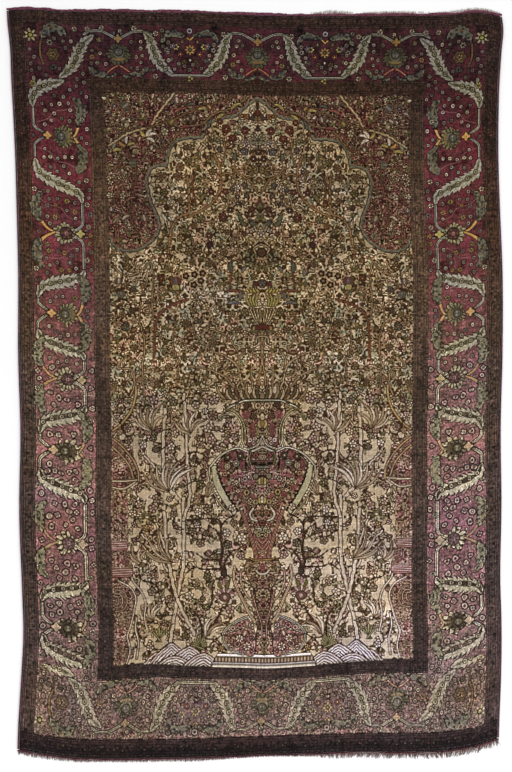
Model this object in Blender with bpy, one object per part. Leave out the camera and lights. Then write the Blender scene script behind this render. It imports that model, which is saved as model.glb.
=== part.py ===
"""Hand-knotted Persian prayer rug, lying flat on its back: pile, overcast sides, woven ends, warp fringe."""

import random
from collections import namedtuple

import bmesh
import bpy
import numpy as np

# Driving dimensions, in metres. X runs across the rug, Y along it towards the niche's top, Z up.
WIDTH = 1.296  # across the rug at mid-length, as woven
LENGTH = 2.013  # along the rug, as woven
PILE_THICKNESS = 0.005  # foundation and clipped pile together
SIDE_CORD = 0.005  # diameter of the overcast cord down each side
TOP_BAND_DEPTH = 0.008  # flat-woven magenta band beyond the pile's top end
BOTTOM_BAND_DEPTH = 0.005  # flat-woven dark red band beyond the pile's bottom end
BAND_THICKNESS = 0.0018
GAP = 0.0003  # between neighbouring pieces
CORD_INSET = 0.001  # how far each side cord stops short of the pile's ends
CREASE_FADE = 0.12  # over which a fold line fades out at its ends

# Divisions of the modelled surfaces.
COLUMNS = 26
ROWS = 52
CORD_SIDES_SETTING = 2

# Fringe locks: clumps of warp ends left beyond the woven bands.
LOCK_PITCH = 0.0059
LOCK_TIP_WIDTH = 0.0014
LOCK_TIP_THICKNESS = 0.0009
SHORTEST_LOCK = 0.0025
LOCK_LEAN = 0.16  # sideways lean of a lock, as a share of its length
LOCK_UNEVENNESS = 0.35  # how much shorter than the longest near it a lock may be, as a share

Side = namedtuple("Side", "along left right")
End = namedtuple("End", "across bottom top")
Crease = namedtuple("Crease", "along start end width height")
Profile = namedtuple("Profile", "across length")

# The two long edges, outside the cords, down the length of the rug.
SIDES = [
    Side(0.000, -0.642, 0.659),
    Side(0.060, -0.640, 0.661),
    Side(0.160, -0.634, 0.665),
    Side(0.320, -0.626, 0.666),
    Side(0.420, -0.629, 0.663),
    Side(0.640, -0.637, 0.666),
    Side(0.860, -0.634, 0.664),
    Side(1.070, -0.640, 0.669),
    Side(1.290, -0.640, 0.669),
    Side(1.500, -0.645, 0.661),
    Side(1.610, -0.648, 0.658),
    Side(1.720, -0.653, 0.658),
    Side(1.830, -0.659, 0.661),
    Side(1.910, -0.662, 0.666),
    Side(1.980, -0.669, 0.671),
    Side(2.013, -0.671, 0.667),
]

# The pile's bottom end and the top band's outer end, across the rug.
ENDS = [
    End(-0.648, -0.988, 1.018),
    End(-0.583, -0.998, 1.020),
    End(-0.518, -1.007, 1.015),
    End(-0.389, -1.011, 1.014),
    End(-0.259, -1.009, 1.012),
    End(-0.130, -1.006, 1.010),
    End(0.000, -1.000, 1.004),
    End(0.130, -0.997, 1.002),
    End(0.259, -0.992, 1.002),
    End(0.389, -0.993, 1.003),
    End(0.518, -0.988, 1.005),
    End(0.596, -0.974, 1.011),
    End(0.648, -0.957, 1.002),
]

# Old fold lines that still show in the pile, as soft troughs (negative) and ridges across the rug.
CREASES = [
    Crease(0.905, -0.62, 0.62, 0.045, -0.0008),
    Crease(1.035, -0.60, 0.60, 0.060, 0.0007),
    Crease(1.165, -0.50, 0.62, 0.040, -0.0009),
    Crease(1.560, -0.62, 0.30, 0.040, -0.0005),
    Crease(0.420, -0.62, 0.62, 0.050, -0.0005),
]

# How far the fringe stands out beyond each band.
BOTTOM_FRINGE = [
    Profile(-0.66, 0.008),
    Profile(-0.60, 0.009),
    Profile(-0.53, 0.008),
    Profile(-0.40, 0.006),
    Profile(-0.26, 0.007),
    Profile(-0.16, 0.007),
    Profile(-0.08, 0.004),
    Profile(-0.02, 0.003),
    Profile(0.11, 0.004),
    Profile(0.15, 0.006),
    Profile(0.19, 0.013),
    Profile(0.26, 0.014),
    Profile(0.40, 0.016),
    Profile(0.48, 0.017),
    Profile(0.60, 0.019),
    Profile(0.66, 0.016),
]
TOP_FRINGE = [
    Profile(-0.66, 0.003),
    Profile(-0.60, 0.000),
    Profile(-0.20, 0.000),
    Profile(0.20, 0.000),
    Profile(0.30, 0.002),
    Profile(0.40, 0.004),
    Profile(0.56, 0.006),
    Profile(0.62, 0.005),
    Profile(0.66, 0.003),
]


def smooth_through(rows, place, value, at):
    """Reads one column of a table at any place, on a smooth curve that passes through every row."""
    places = np.array([getattr(row, place) for row in rows])
    values = np.array([getattr(row, value) for row in rows])
    slopes = np.gradient(values, places)
    at = np.clip(at, places[0], places[-1])
    row = np.clip(np.searchsorted(places, at) - 1, 0, len(places) - 2)
    span = places[row + 1] - places[row]
    t = (at - places[row]) / span
    start = values[row] * (1 + 2 * t) * (1 - t) ** 2 + slopes[row] * span * t * (1 - t) ** 2
    finish = values[row + 1] * t * t * (3 - 2 * t) + slopes[row + 1] * span * t * t * (t - 1)
    return start + finish


def pile_point(across, along):
    """Where a point of the flat weave lies once the rug's edges are as uneven as they really are."""
    inset = SIDE_CORD + GAP
    left = smooth_through(SIDES, "along", "left", along) + inset
    right = smooth_through(SIDES, "along", "right", along) - inset
    bottom = smooth_through(ENDS, "across", "bottom", across)
    top = smooth_through(ENDS, "across", "top", across) - TOP_BAND_DEPTH - GAP
    x = left + (right - left) * (across / WIDTH + 0.5)
    y = bottom + (top - bottom) * along / LENGTH
    return x, y


def crease_height(across, along):
    """How far old folds lift or sink the pile's face at a point of the weave."""
    height = 0.0
    for crease in CREASES:
        if crease.start < across < crease.end:
            shape = np.exp(-(((along - crease.along) / (0.5 * crease.width)) ** 2))
            fade = min(across - crease.start, crease.end - across) / CREASE_FADE
            height += crease.height * shape * min(fade, 1.0)
    return float(height)


def finished(name, mesh, color, roughness):
    """Turns modelled geometry into a named object with its own material."""
    data = bpy.data.meshes.new(name)
    bmesh.ops.recalc_face_normals(mesh, faces=mesh.faces)
    mesh.to_mesh(data)
    mesh.free()
    piece = bpy.data.objects.new(name, data)
    bpy.context.scene.collection.objects.link(piece)
    finish(piece, color, roughness)


def finish(piece, color, roughness):
    material = bpy.data.materials.new(piece.name)
    material.use_nodes = True
    shader = material.node_tree.nodes["Principled BSDF"]
    shader.inputs["Base Color"].default_value = (*color, 1.0)
    shader.inputs["Roughness"].default_value = roughness
    shader.inputs["Metallic"].default_value = 0.0
    piece.data.materials.append(material)


def thicken(mesh, thickness):
    """Extrudes a flat sheet of faces straight up and returns the points of its upper face."""
    made = bmesh.ops.extrude_face_region(mesh, geom=mesh.faces[:])
    upper = [item for item in made["geom"] if isinstance(item, bmesh.types.BMVert)]
    bmesh.ops.translate(mesh, verts=upper, vec=(0.0, 0.0, thickness))
    return upper


def knotted_pile():
    """The knotted body of the rug: one slab on a flat back, with its edges and fold lines as they are."""
    mesh = bmesh.new()
    bmesh.ops.create_grid(mesh, x_segments=COLUMNS, y_segments=ROWS, size=0.5)
    for point in mesh.verts:
        point.co.x *= WIDTH
        point.co.y = (point.co.y + 0.5) * LENGTH
    for point in thicken(mesh, PILE_THICKNESS):
        point.co.z += crease_height(point.co.x, point.co.y)
    for point in mesh.verts:
        point.co.x, point.co.y = pile_point(point.co.x, point.co.y)
    finished("knotted_rug", mesh, (0.21, 0.14, 0.11), 0.75)


def side_cord(name, edge):
    """One overcast side: the outer warps wrapped in silk, a round cord along the pile's edge."""
    data = bpy.data.curves.new(name, "CURVE")
    data.dimensions = "3D"
    data.bevel_depth = SIDE_CORD / 2
    data.bevel_resolution = CORD_SIDES_SETTING
    data.use_fill_caps = True
    spline = data.splines.new("POLY")
    spline.points.add(ROWS)
    offset = -(SIDE_CORD / 2 + GAP) * (1 if edge == "left" else -1)
    across = WIDTH / 2 * (-1 if edge == "left" else 1)
    for row, point in enumerate(spline.points):
        x, y = pile_point(across, LENGTH * row / ROWS)
        y += CORD_INSET * ((row == 0) - (row == ROWS))
        point.co = (x + offset, y, SIDE_CORD / 2, 1.0)
    piece = bpy.data.objects.new(name, data)
    bpy.context.scene.collection.objects.link(piece)
    finish(piece, (0.20, 0.11, 0.13), 0.6)


def pile_end(along):
    """The pile's end edge as modelled: one point for each of its columns."""
    across = WIDTH * (np.arange(COLUMNS + 1) / COLUMNS - 0.5)
    return pile_point(across, np.full(COLUMNS + 1, along))


def fringed_band(name, along, depth, profile, color, seed):
    """A flat-woven band beyond one end of the pile, with the warp ends standing out of it in locks."""
    outward = 1 if along > 0 else -1
    edge_x, edge_y = pile_end(along)
    reach = SIDE_CORD + GAP
    left = edge_x[0] - reach
    right = edge_x[-1] + reach
    cells = 2 * int((right - left) / LOCK_PITCH) + 1
    mesh = bmesh.new()
    bmesh.ops.create_grid(mesh, x_segments=cells, y_segments=1, size=0.5)
    for point in mesh.verts:
        x = left + (right - left) * (point.co.x + 0.5)
        outside = point.co.y * outward > 0
        y = np.interp(x, edge_x, edge_y) + outward * (GAP + (depth if outside else 0.0))
        point.co = (x, y, 0.0)
    thicken(mesh, BAND_THICKNESS)
    bmesh.ops.recalc_face_normals(mesh, faces=mesh.faces)
    ends = [face for face in mesh.faces if face.normal.y * outward > 0.7]
    ends.sort(key=lambda face: face.calc_center_median().x)
    lengths = lock_lengths(ends[::2], profile, seed)
    rooted = [face for face, (length, lean) in zip(ends[::2], lengths) if length > SHORTEST_LOCK]
    shapes = [shape for shape in lengths if shape[0] > SHORTEST_LOCK]
    tips = bmesh.ops.extrude_discrete_faces(mesh, faces=rooted)["faces"]
    for tip, (length, lean) in zip(tips, shapes):
        draw_out(tip, outward * length, lean * length)
    finished(name, mesh, color, 0.8)


def lock_lengths(roots, profile, seed):
    """Each lock's length and sideways lean: neighbours lean alike, lengths differ from one to the next."""
    draw = random.Random(seed)
    lean = 0.0
    shapes = []
    for root in roots:
        x = root.calc_center_median().x
        length = float(smooth_through(profile, "across", "length", x))
        length *= 1.0 - LOCK_UNEVENNESS * draw.random()
        lean = 0.8 * lean + 0.2 * LOCK_LEAN * draw.uniform(-3.0, 3.0)
        lean = min(max(lean, -LOCK_LEAN), LOCK_LEAN)
        shapes.append((length, lean))
    return shapes


def draw_out(tip, length, lean):
    """Pulls a lock's end face out to its tip, narrower and lower than its root and level on the floor."""
    middle = tip.calc_center_median().x
    for point in tip.verts:
        side = 1 if point.co.x > middle else -1
        point.co.x = middle + lean + side * LOCK_TIP_WIDTH / 2
        point.co.y += length
        point.co.z = min(point.co.z, LOCK_TIP_THICKNESS)


for old in list(bpy.data.objects):
    bpy.data.objects.remove(old)

knotted_pile()
side_cord("left_selvedge", "left")
side_cord("right_selvedge", "right")
fringed_band("top_fringe", LENGTH, TOP_BAND_DEPTH, TOP_FRINGE, (0.25, 0.10, 0.14), 11)
fringed_band("bottom_fringe", 0.0, BOTTOM_BAND_DEPTH, BOTTOM_FRINGE, (0.22, 0.13, 0.11), 23)
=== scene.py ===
import math
import random

import bpy
import numpy as np
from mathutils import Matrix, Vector


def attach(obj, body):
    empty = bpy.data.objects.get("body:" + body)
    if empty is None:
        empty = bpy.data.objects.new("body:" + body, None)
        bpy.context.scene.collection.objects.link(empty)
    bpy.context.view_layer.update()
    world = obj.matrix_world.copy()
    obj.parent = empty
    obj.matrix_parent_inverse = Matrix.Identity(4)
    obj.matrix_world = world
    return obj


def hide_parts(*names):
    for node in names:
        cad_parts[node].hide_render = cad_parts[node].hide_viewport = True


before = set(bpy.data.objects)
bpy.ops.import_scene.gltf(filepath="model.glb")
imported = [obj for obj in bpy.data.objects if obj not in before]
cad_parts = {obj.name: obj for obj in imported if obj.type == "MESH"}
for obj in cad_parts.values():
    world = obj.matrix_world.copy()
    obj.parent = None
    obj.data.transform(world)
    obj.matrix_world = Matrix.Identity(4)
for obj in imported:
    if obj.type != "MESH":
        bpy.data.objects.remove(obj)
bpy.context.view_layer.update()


# ---------------------------------------------------------------- the lie of the rug
# A hand-knotted rug is never quite straight: its edges wander and its rows of knots are beaten down
# unevenly. Places in the design are in millimetres of the weave, across from the middle and up from
# the bottom end; these tables say where the weave lies on the floor.

WIDTH = 1296.0
LENGTH = 2013.0
SIDE_CORD = 5.0
TOP_BAND = 8.0
BOTTOM_BAND = 5.0
PILE = 5.0
GAP = 0.3
AXIS_SHIFT = 5.0
SAG_FADE = 150.0

# along the weave, left edge, right edge
SIDES = [
    (0, -642, 659), (60, -640, 661), (160, -634, 665), (320, -626, 666), (420, -629, 663), (640, -637, 666),
    (860, -634, 664), (1070, -640, 669), (1290, -640, 669), (1500, -645, 661), (1610, -648, 658),
    (1720, -653, 658), (1830, -659, 661), (1910, -662, 666), (1980, -669, 671), (2013, -671, 667),
]
# across the weave, line of the bottom end, outer edge of the top band, sag of the lowest rows past the line
ENDS = [
    (-648, -983, 1018, 5), (-583, -991, 1020, 7), (-518, -1000, 1015, 7), (-389, -1005, 1014, 6),
    (-259, -1007, 1012, 2), (-130, -1003, 1010, 3), (0, -997, 1004, 3), (130, -991, 1002, 6),
    (259, -988, 1002, 4), (389, -988, 1003, 5), (518, -979, 1005, 9), (596, -964, 1011, 10),
    (648, -942, 1002, 15),
]
# across the weave, how far up the rows near the lower inner guard were beaten out of line
LOWER_ROWS = [(-648, 0), (-420, 2), (-290, 14), (-200, 8), (-60, 0), (0, -4), (120, -2), (300, 8), (648, 2)]


def smooth_through(table, column, at):
    """A table's column read at any place, on a smooth curve through its rows."""
    places = np.array([row[0] for row in table], float)
    values = np.array([row[column] for row in table], float)
    slopes = np.gradient(values, places)
    at = np.clip(at, places[0], places[-1])
    row = np.clip(np.searchsorted(places, at) - 1, 0, len(places) - 2)
    span = places[row + 1] - places[row]
    t = (at - places[row]) / span
    start = values[row] * (1 + 2 * t) * (1 - t) ** 2 + slopes[row] * span * t * (1 - t) ** 2
    finish = values[row + 1] * t * t * (3 - 2 * t) + slopes[row + 1] * span * t * t * (t - 1)
    return start + finish


def read_off(table, column, at):
    """A table's column read at any place, on a straight line from row to row."""
    return np.interp(at, [row[0] for row in table], [row[column] for row in table])


def on_floor(across, along):
    """Where a point of the weave lies on the floor, in millimetres."""
    inset = SIDE_CORD + GAP
    left = smooth_through(SIDES, 1, along) + inset
    right = smooth_through(SIDES, 2, along) - inset
    bottom = smooth_through(ENDS, 1, across)
    top = smooth_through(ENDS, 2, across) - TOP_BAND - GAP
    x = left + (right - left) * (across / WIDTH + 0.5) + AXIS_SHIFT * (1 - (2 * across / WIDTH) ** 2)
    y = bottom + (top - bottom) * along / LENGTH - smooth_through(ENDS, 3,
                                                                  across) * np.exp(-along / SAG_FADE)
    y = y + smooth_through(LOWER_ROWS, 1, across) * np.exp(-((along - 250) / 130) ** 2)
    return x, y


# ---------------------------------------------------------------- how the design is drawn
# The design is worked out on a fine grid of samples, three across and three up to each knot. Only the left
# half is drawn; the right half mirrors it, as the weaver's cartoon does. Whatever is drawn is also marked
# as taken, so that the small flowers strewn later keep off it.

SAMPLES = 3
KNOTS_ACROSS = 510
KNOTS_ALONG = 792
STEP_ACROSS = WIDTH / KNOTS_ACROSS / SAMPLES
STEP_ALONG = LENGTH / KNOTS_ALONG / SAMPLES
HALF = KNOTS_ACROSS * SAMPLES // 2
HEIGHT = KNOTS_ALONG * SAMPLES

sample_across = (np.arange(HALF) + 0.5) * STEP_ACROSS - WIDTH / 2
sample_along = (np.arange(HEIGHT) + 0.5) * STEP_ALONG
ACROSS = sample_across[None, :]
ALONG = sample_along[:, None]
cloth = np.zeros((HEIGHT, HALF, 3), np.float32)
taken = np.zeros((HEIGHT, HALF), bool)


def dye(colour):
    """The red, green and blue of a dye written as one hexadecimal number; a mixed dye stays as it is."""
    if isinstance(colour, int):
        colour = np.array([colour >> 16, colour >> 8 & 255, colour & 255], np.float32) / 255
    return colour


SOOT = 0x18110E
INK = 0x1C130F
BONE = 0xE4D0B0
TAN = 0xAA8A62
ROSE = 0x9C5458
MADDER = 0x702A22
AUBERGINE = 0x40242A
GOLD = 0xCE9A54
STRAW = 0xB8A45C
OLIVE = 0x686032
LEAF = 0x4A583E
SAGE = 0x94987A
TEAL = 0x58706C
SLATE = 0x626870


def at(u, v, reach, turn=0.0):
    """The samples near a point: their slices, and their places in a frame turned with the motif."""
    c0 = max(int((u - reach + WIDTH / 2) / STEP_ACROSS), 0)
    c1 = min(int((u + reach + WIDTH / 2) / STEP_ACROSS) + 2, HALF)
    r0 = max(int((v - reach) / STEP_ALONG), 0)
    r1 = min(int((v + reach) / STEP_ALONG) + 2, HEIGHT)
    x = sample_across[None, c0:max(c1, c0)] - u
    y = sample_along[r0:max(r1, r0), None] - v
    c, s = math.cos(turn), math.sin(turn)
    return (slice(r0, max(r1, r0)), slice(c0, max(c1, c0))), x * c + y * s, y * c - x * s


def lay(where, distance, colour, strength=1.0):
    """Works a colour in where the distance is negative, softened over one sample."""
    cover = np.clip(0.5 - distance / STEP_ALONG, 0, 1)[..., None] * strength
    cloth[where] += (dye(colour) - cloth[where]) * cover


def keep_clear(where, distance):
    """Marks the samples where the distance is negative as taken."""
    taken[where] |= distance < 0


def clear_round(u, v, r):
    """Marks a round spot as taken."""
    where, x, y = at(u, v, r)
    keep_clear(where, np.hypot(x, y) - r)


def disc(u, v, r, colour, strength=1.0):
    where, x, y = at(u, v, r + 2)
    lay(where, np.hypot(x, y) - r, colour, strength)


def through(points, pieces=6):
    """A smooth line through a few points."""
    p = np.array(points, float)
    p = np.vstack([2 * p[0] - p[1], p, 2 * p[-1] - p[-2]])
    t = np.linspace(0, 1, pieces, endpoint=False)[:, None]
    runs = []
    for a, b, c, d in zip(p[:-3], p[1:-2], p[2:-1], p[3:]):
        runs.append(0.5 * (2 * b + (c - a) * t + (2 * a - 5 * b + 4 * c - d) * t**2
                           + (3 * b - a - 3 * c + d) * t**3))
    return np.vstack(runs + [p[-2][None]])


def near(line, reach):
    """The samples near a line: slices, distance to it signed by side, and the share of its length."""
    lo, hi = line.min(0) - reach, line.max(0) + reach
    middle = (lo + hi) / 2
    half = (hi - lo) / 2
    c0 = max(int((lo[0] + WIDTH / 2) / STEP_ACROSS), 0)
    c1 = min(int((hi[0] + WIDTH / 2) / STEP_ACROSS) + 2, HALF)
    r0 = max(int(lo[1] / STEP_ALONG), 0)
    r1 = min(int(hi[1] / STEP_ALONG) + 2, HEIGHT)
    c1, r1 = max(c1, c0), max(r1, r0)
    x = sample_across[None, c0:c1]
    y = sample_along[r0:r1, None]
    best = np.full((r1 - r0, c1 - c0), 1e9, np.float32)
    side = np.ones_like(best)
    share = np.zeros_like(best)
    lengths = np.hypot(*(line[1:] - line[:-1]).T)
    whole = max(lengths.sum(), 1e-6)
    gone = 0.0
    for a, b, length in zip(line[:-1], line[1:], lengths):
        if length < 1e-6:
            continue
        dx, dy = (b - a) / length
        t = np.clip((x - a[0]) * dx + (y - a[1]) * dy, 0, length)
        ex, ey = x - a[0] - t * dx, y - a[1] - t * dy
        d = ex * ex + ey * ey
        closer = d < best
        best = np.where(closer, d, best)
        side = np.where(closer, np.sign(dx * ey - dy * ex), side)
        share = np.where(closer, (gone + t) / whole, share)
        gone += length
    return (slice(r0, r1), slice(c0, c1)), np.sqrt(best), side, share


def stroke(line, width, colour, strength=1.0, edge=None, rim=1.6, guard=None):
    """A line of one colour, with a darker line down each side where the edge colour is given."""
    where, d, side, share = near(line, width / 2 + rim + 2)
    if edge is not None:
        lay(where, d - width / 2 - rim, edge, strength)
    lay(where, d - width / 2, colour, strength)
    if guard is not None:
        keep_clear(where, d - width / 2 - guard)


def ring(u, v, r=6.0, pale=BONE, heart=MADDER, edge=SOOT):
    """A small round flower: a dark outline, a pale ring, and a dark ring round its heart."""
    where, x, y = at(u, v, r + 4)
    d = np.hypot(x, y * 0.94)
    lay(where, d - r - 2.1, edge, 0.95)
    lay(where, d - r, pale)
    lay(where, d - 0.48 * r, edge, 0.85)
    lay(where, d - 0.20 * r, heart, 0.9)
    keep_clear(where, d - r - 3)


def blossom(u, v, r, petals=5, petal=BONE, heart=MADDER, turn=0.0, edge=INK, rim=1.7, deep=0.22, core=0.42):
    """A small flower face on: scalloped petals round a dark-ringed heart."""
    where, x, y = at(u, v, r * 1.1 + 4)
    d = np.hypot(x, y)
    scallop = r * (1 - deep + deep * np.cos(petals * (np.arctan2(y, x) + turn)))
    lay(where, d - scallop - rim, edge)
    lay(where, d - scallop, petal)
    lay(where, d - core * r, edge)
    lay(where, d - (core - 0.16) * r, heart)


# ---------------------------------------------------------------- the borders
# From the outside in: a dark outer guard, the plum main border with its vine of toothed leaves and
# palmettes, a dark inner guard, and the ivory ground of the field. The lower end is paler, partly faded in
# the sun and partly painted pile sheen.

# half-widths of the bands across the rug
OUTER = 610.0
INNER = 450.0
FIELD = 408.0
TOP_OUTER, TOP_INNER, TOP_FIELD = 1978.0, 1833.0, 1795.0
BOTTOM_OUTER, BOTTOM_INNER, BOTTOM_FIELD = 50.0, 204.0, 242.0


def cloud(seed, tall, wide):
    """Smooth chance patches over the drawn half of the rug, each about tall by wide."""
    grid = np.random.default_rng(seed).normal(0, 1, (int(LENGTH / tall) + 3, int(WIDTH / 2 / wide) + 3))
    rows = ALONG / tall
    cols = (ACROSS + WIDTH / 2) / wide
    r, c = rows.astype(int), cols.astype(int)
    up = (rows - r) ** 2 * (3 - 2 * (rows - r))
    over = (cols - c) ** 2 * (3 - 2 * (cols - c))
    lower = grid[r, c] * (1 - over) + grid[r, c + 1] * over
    upper = grid[r + 1, c] * (1 - over) + grid[r + 1, c + 1] * over
    return (lower * (1 - up) + upper * up)[..., None].astype(np.float32)


def eased(amount, start, full):
    return np.clip((amount - start) / (full - start), 0, 1).astype(np.float32)


def tendrils(seed, size):
    """Smooth chance heights whose contours curl like crowded tendrils, and the drifts of dye among them."""
    swell = cloud(seed, size, size) + 0.5 * cloud(seed + 1, 0.6 * size, 0.6 * size)
    warm = cloud(seed + 2, 1.6 * size, 1.3 * size)
    deep = cloud(seed + 3, 1.2 * size, 1.6 * size)
    return swell, warm, deep, cloud(seed + 4, 26, 26)


def thicket(inside, curls, dyes, turns=1.35, dark_at=0.15, pale_at=0.25, strength=1.0):
    """Fills part of the field with small crowded tendrils and leaves in many dyes."""
    rows = np.where(inside.any(axis=1))[0]
    rows = slice(rows[0], rows[-1] + 1)
    swell, warm, deep, worn = [grid[rows] for grid in curls]
    pale, middle, dark, rosy, green, brown, red = [dye(one) for one in dyes]
    line = np.cos(turns * np.pi * swell)
    tint = middle + (rosy - middle) * eased(warm, 0.3, 0.8)
    tint = tint + (green - tint) * eased(-warm, 0.3, 0.8)
    tint = tint + (brown - tint) * eased(deep, 0.5, 1.0) * 0.8
    tint = tint + (red - tint) * eased(-deep, 0.7, 1.1) * 0.85
    light = pale + (rosy * 1.2 - pale) * eased(warm, 0.5, 1.0) * 0.6
    light = light + (green * 1.15 - light) * eased(-warm, 0.4, 1.0) * 0.6
    tint = tint + (light - tint) * eased(line, pale_at, pale_at + 0.35)
    tint = tint + (dark - tint) * eased(-line, dark_at, dark_at + 0.35)
    tint = tint * (1 + 0.12 * np.clip(worn, -1.2, 1.2))
    cloth[rows] += (tint - cloth[rows]) * (inside[rows][..., None] * strength).astype(np.float32)


# how bright the borders are up the rug, darkest at the top: partly years of sun on its lower end, partly
# painted pile sheen
BORDER_FADE_AND_SHEEN = [(0, 0.86), (46, 0.88), (70, 0.80), (560, 0.80), (900, 0.86), (1250, 0.86), (1500, 0.86),
          (1700, 0.80), (1840, 0.72), (2013, 0.70)]
# along the weave, red, green and blue of each ground
PLUM_GROUND = [
    (0, 118, 92, 82), (230, 118, 90, 81), (420, 128, 90, 84), (560, 126, 80, 81), (700, 130, 85, 83),
    (850, 134, 92, 86), (1000, 125, 85, 78), (1150, 111, 71, 66), (1320, 92, 50, 49), (1500, 85, 43, 46),
    (1650, 87, 42, 45), (1780, 68, 33, 36), (1900, 57, 31, 33), (2013, 54, 31, 32),
]
OUTER_GUARD = [
    (0, 32, 25, 24), (20, 34, 26, 25), (34, 54, 38, 36), (50, 60, 42, 39), (66, 76, 58, 51),
    (300, 74, 56, 50), (500, 72, 55, 48), (900, 78, 60, 49), (1150, 78, 59, 45), (1300, 76, 54, 40),
    (1500, 66, 45, 33), (1700, 50, 33, 26), (2013, 48, 33, 28),
]
INNER_GUARD = [
    (200, 56, 42, 38), (300, 56, 42, 37), (500, 66, 50, 42), (700, 80, 61, 51), (900, 70, 53, 43),
    (1060, 73, 55, 42), (1260, 90, 68, 50), (1450, 84, 63, 47), (1650, 70, 51, 38), (1790, 56, 38, 28),
    (2013, 50, 33, 25),
]


def by_height(table):
    """A ground's colour at each row of the drawing."""
    colours = np.stack([read_off(table, column, sample_along) for column in (1, 2, 3)], axis=1) / 255
    return (colours / read_off(BORDER_FADE_AND_SHEEN, 1, sample_along)[:, None])[:, None, :].astype(np.float32)


def framed(outer, low, high):
    """The samples inside a rectangle set about the rug's middle, its sides a knot or two uneven."""
    uneven = 1.6 * cloud(30, 9, 9)[..., 0]
    inside = np.abs(ACROSS) + uneven < outer
    return inside & (ALONG + uneven > low) & (ALONG + uneven < high)


def ground(inside, table, fleck, streak):
    """Lays a ground with its own wear: chance flecks, and streaks along the rows."""
    colour = by_height(table)
    wear = cloud(31, 26, 14) * 0.35 + cloud(32, 3.2, 9) * 0.55 * streak
    wear = wear + cloud(33, 4, 3) * 0.7 * fleck + cloud(34, 9, 3) * 0.3
    colour = colour * (1 + 0.26 * wear) + 0.012 * cloud(35, 12, 8) * np.array([1.0, 0.2, 0.3], np.float32)
    cloth[inside] = colour[inside]


ground(framed(800, -50, 2100), OUTER_GUARD, 0.75, 0.75)
main_border = framed(OUTER, BOTTOM_OUTER, TOP_OUTER)
ground(main_border, PLUM_GROUND, 0.6, 0.6)
worn = np.clip(cloud(38, 46, 30) * 0.5 + cloud(39, 15, 13) * 0.5 + cloud(40, 4, 20) * 0.3, -1.2, 1.2)
REDDER = np.array([9, -4, 1], np.float32) / 255
cloth += main_border[..., None] * (np.maximum(worn, 0) * REDDER + np.minimum(worn, 0) * dye(0x1A1010))
main_border &= ~framed(INNER, BOTTOM_INNER, TOP_INNER)
ground(framed(INNER, BOTTOM_INNER, TOP_INNER), INNER_GUARD, 0.8, 0.7)
in_rows = (sample_along >= BOTTOM_FIELD) & (sample_along < TOP_FIELD)
in_columns = (sample_across >= -FIELD) & (sample_across < 0)
cloth[np.ix_(in_rows, in_columns)] = dye(0xD0B68C)

bare = cloth.copy()
draw = random.Random(7)
PALMETTE_SIZE = 1.15
DAPPLES = [cloud(44, 6, 6)[..., 0], cloud(45, 5, 5)[..., 0], cloud(46, 7, 6)[..., 0]]


def faded(v, low, high):
    """A dye as it is at some height: paler towards the lower end, partly sunned and partly painted pile
    sheen, deep towards the top.
    """
    share = min(max((v - 750) / 600, 0), 1)
    return dye(low) + (dye(high) - dye(low)) * share


def vine(points):
    """The border's running stem: two thin pale lines with a dark one between them."""
    line = through(points)
    v = points[0][1]
    stroke(line, faded(v, 6.8, 6.2), faded(v, 0xE8D2AC, 0xA4A68A), edge=INK,
           rim=faded(v, 3.2, 1.8), guard=4)
    stroke(line, faded(v, 2.2, 1.6), faded(v, 0x543E30, 0x4E4434))


def saw_leaf(points, width=34.0):
    """A long pale leaf with coarse teeth lying across the border, small rings along its darker back."""
    line = through(points, 8)
    v = points[2][1]
    where, d, side, share = near(line, width)
    rise = np.clip(np.sin(np.pi * np.clip(share, 0, 1)), 0, 1) ** 0.7
    count = np.hypot(*(line[1:] - line[:-1]).T).sum() / 14
    saw = (share * count + side * 0.2) % 1.0
    ragged = 0.1 * np.sin(share * count * 2.9 + side)
    body = 3.4 + width * (faded(v, 0.33, 0.27) + faded(v, 0.28, 0.21) * saw + ragged * 0.5) * rise
    lit = np.clip(0.5 - 0.5 * side, 0, 1)[..., None]
    lit = np.clip(lit + 0.5 * DAPPLES[1][where][..., None], faded(v, 0.6, 0.85), 1)
    lay(where, d - body - faded(v, 3.6, 2.2), INK)
    lay(where, d - body, faded(v, 0xA89672, 0x8C8A70) * (1 - lit)
        + faded(v, 0xF0DEB2, 0xBCBA9C) * lit)
    lay(where, np.maximum(d - body, 1.1 - np.abs((saw - 0.5) * 13)), faded(v, 0x6E5A44, 0x626650),
        faded(v, 0.3, 0.22))
    # its back is a mottled darker band, on the upper side low down the rug and along the middle higher up
    off = faded(v, 0.13, 0.02) * width
    half_back = faded(v, 0.15, 0.10) * width + 1.6 * np.sin(share * count * 1.9)
    back = np.abs(d * side - off * rise) - half_back * rise
    lay(where, np.maximum(back - 1.6, d - body + 2), INK, faded(v, 0.85, 0.3))
    lay(where, np.maximum(back, d - body + 2), faded(v, 0x68583E, 0x706C4E), 0.9)
    lay(where, np.maximum(back, (0.2 - DAPPLES[0][where]) * 5), faded(v, 0x382A1E, 0x48442E), 0.7)
    step = line[1:] - line[:-1]
    for share_of_length in (0.22, 0.36, 0.50, 0.64, 0.76):
        k = int(share_of_length * (len(line) - 1))
        u, w = line[k] + off * np.array([-step[k][1], step[k][0]]) / max(math.hypot(*step[k]), 1e-6)
        ring(u, w, 5.2, pale=faded(v, 0xB29C7A, 0x969068), heart=0x704E3E, edge=INK)
    keep_clear(where, d - body - 2)


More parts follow.
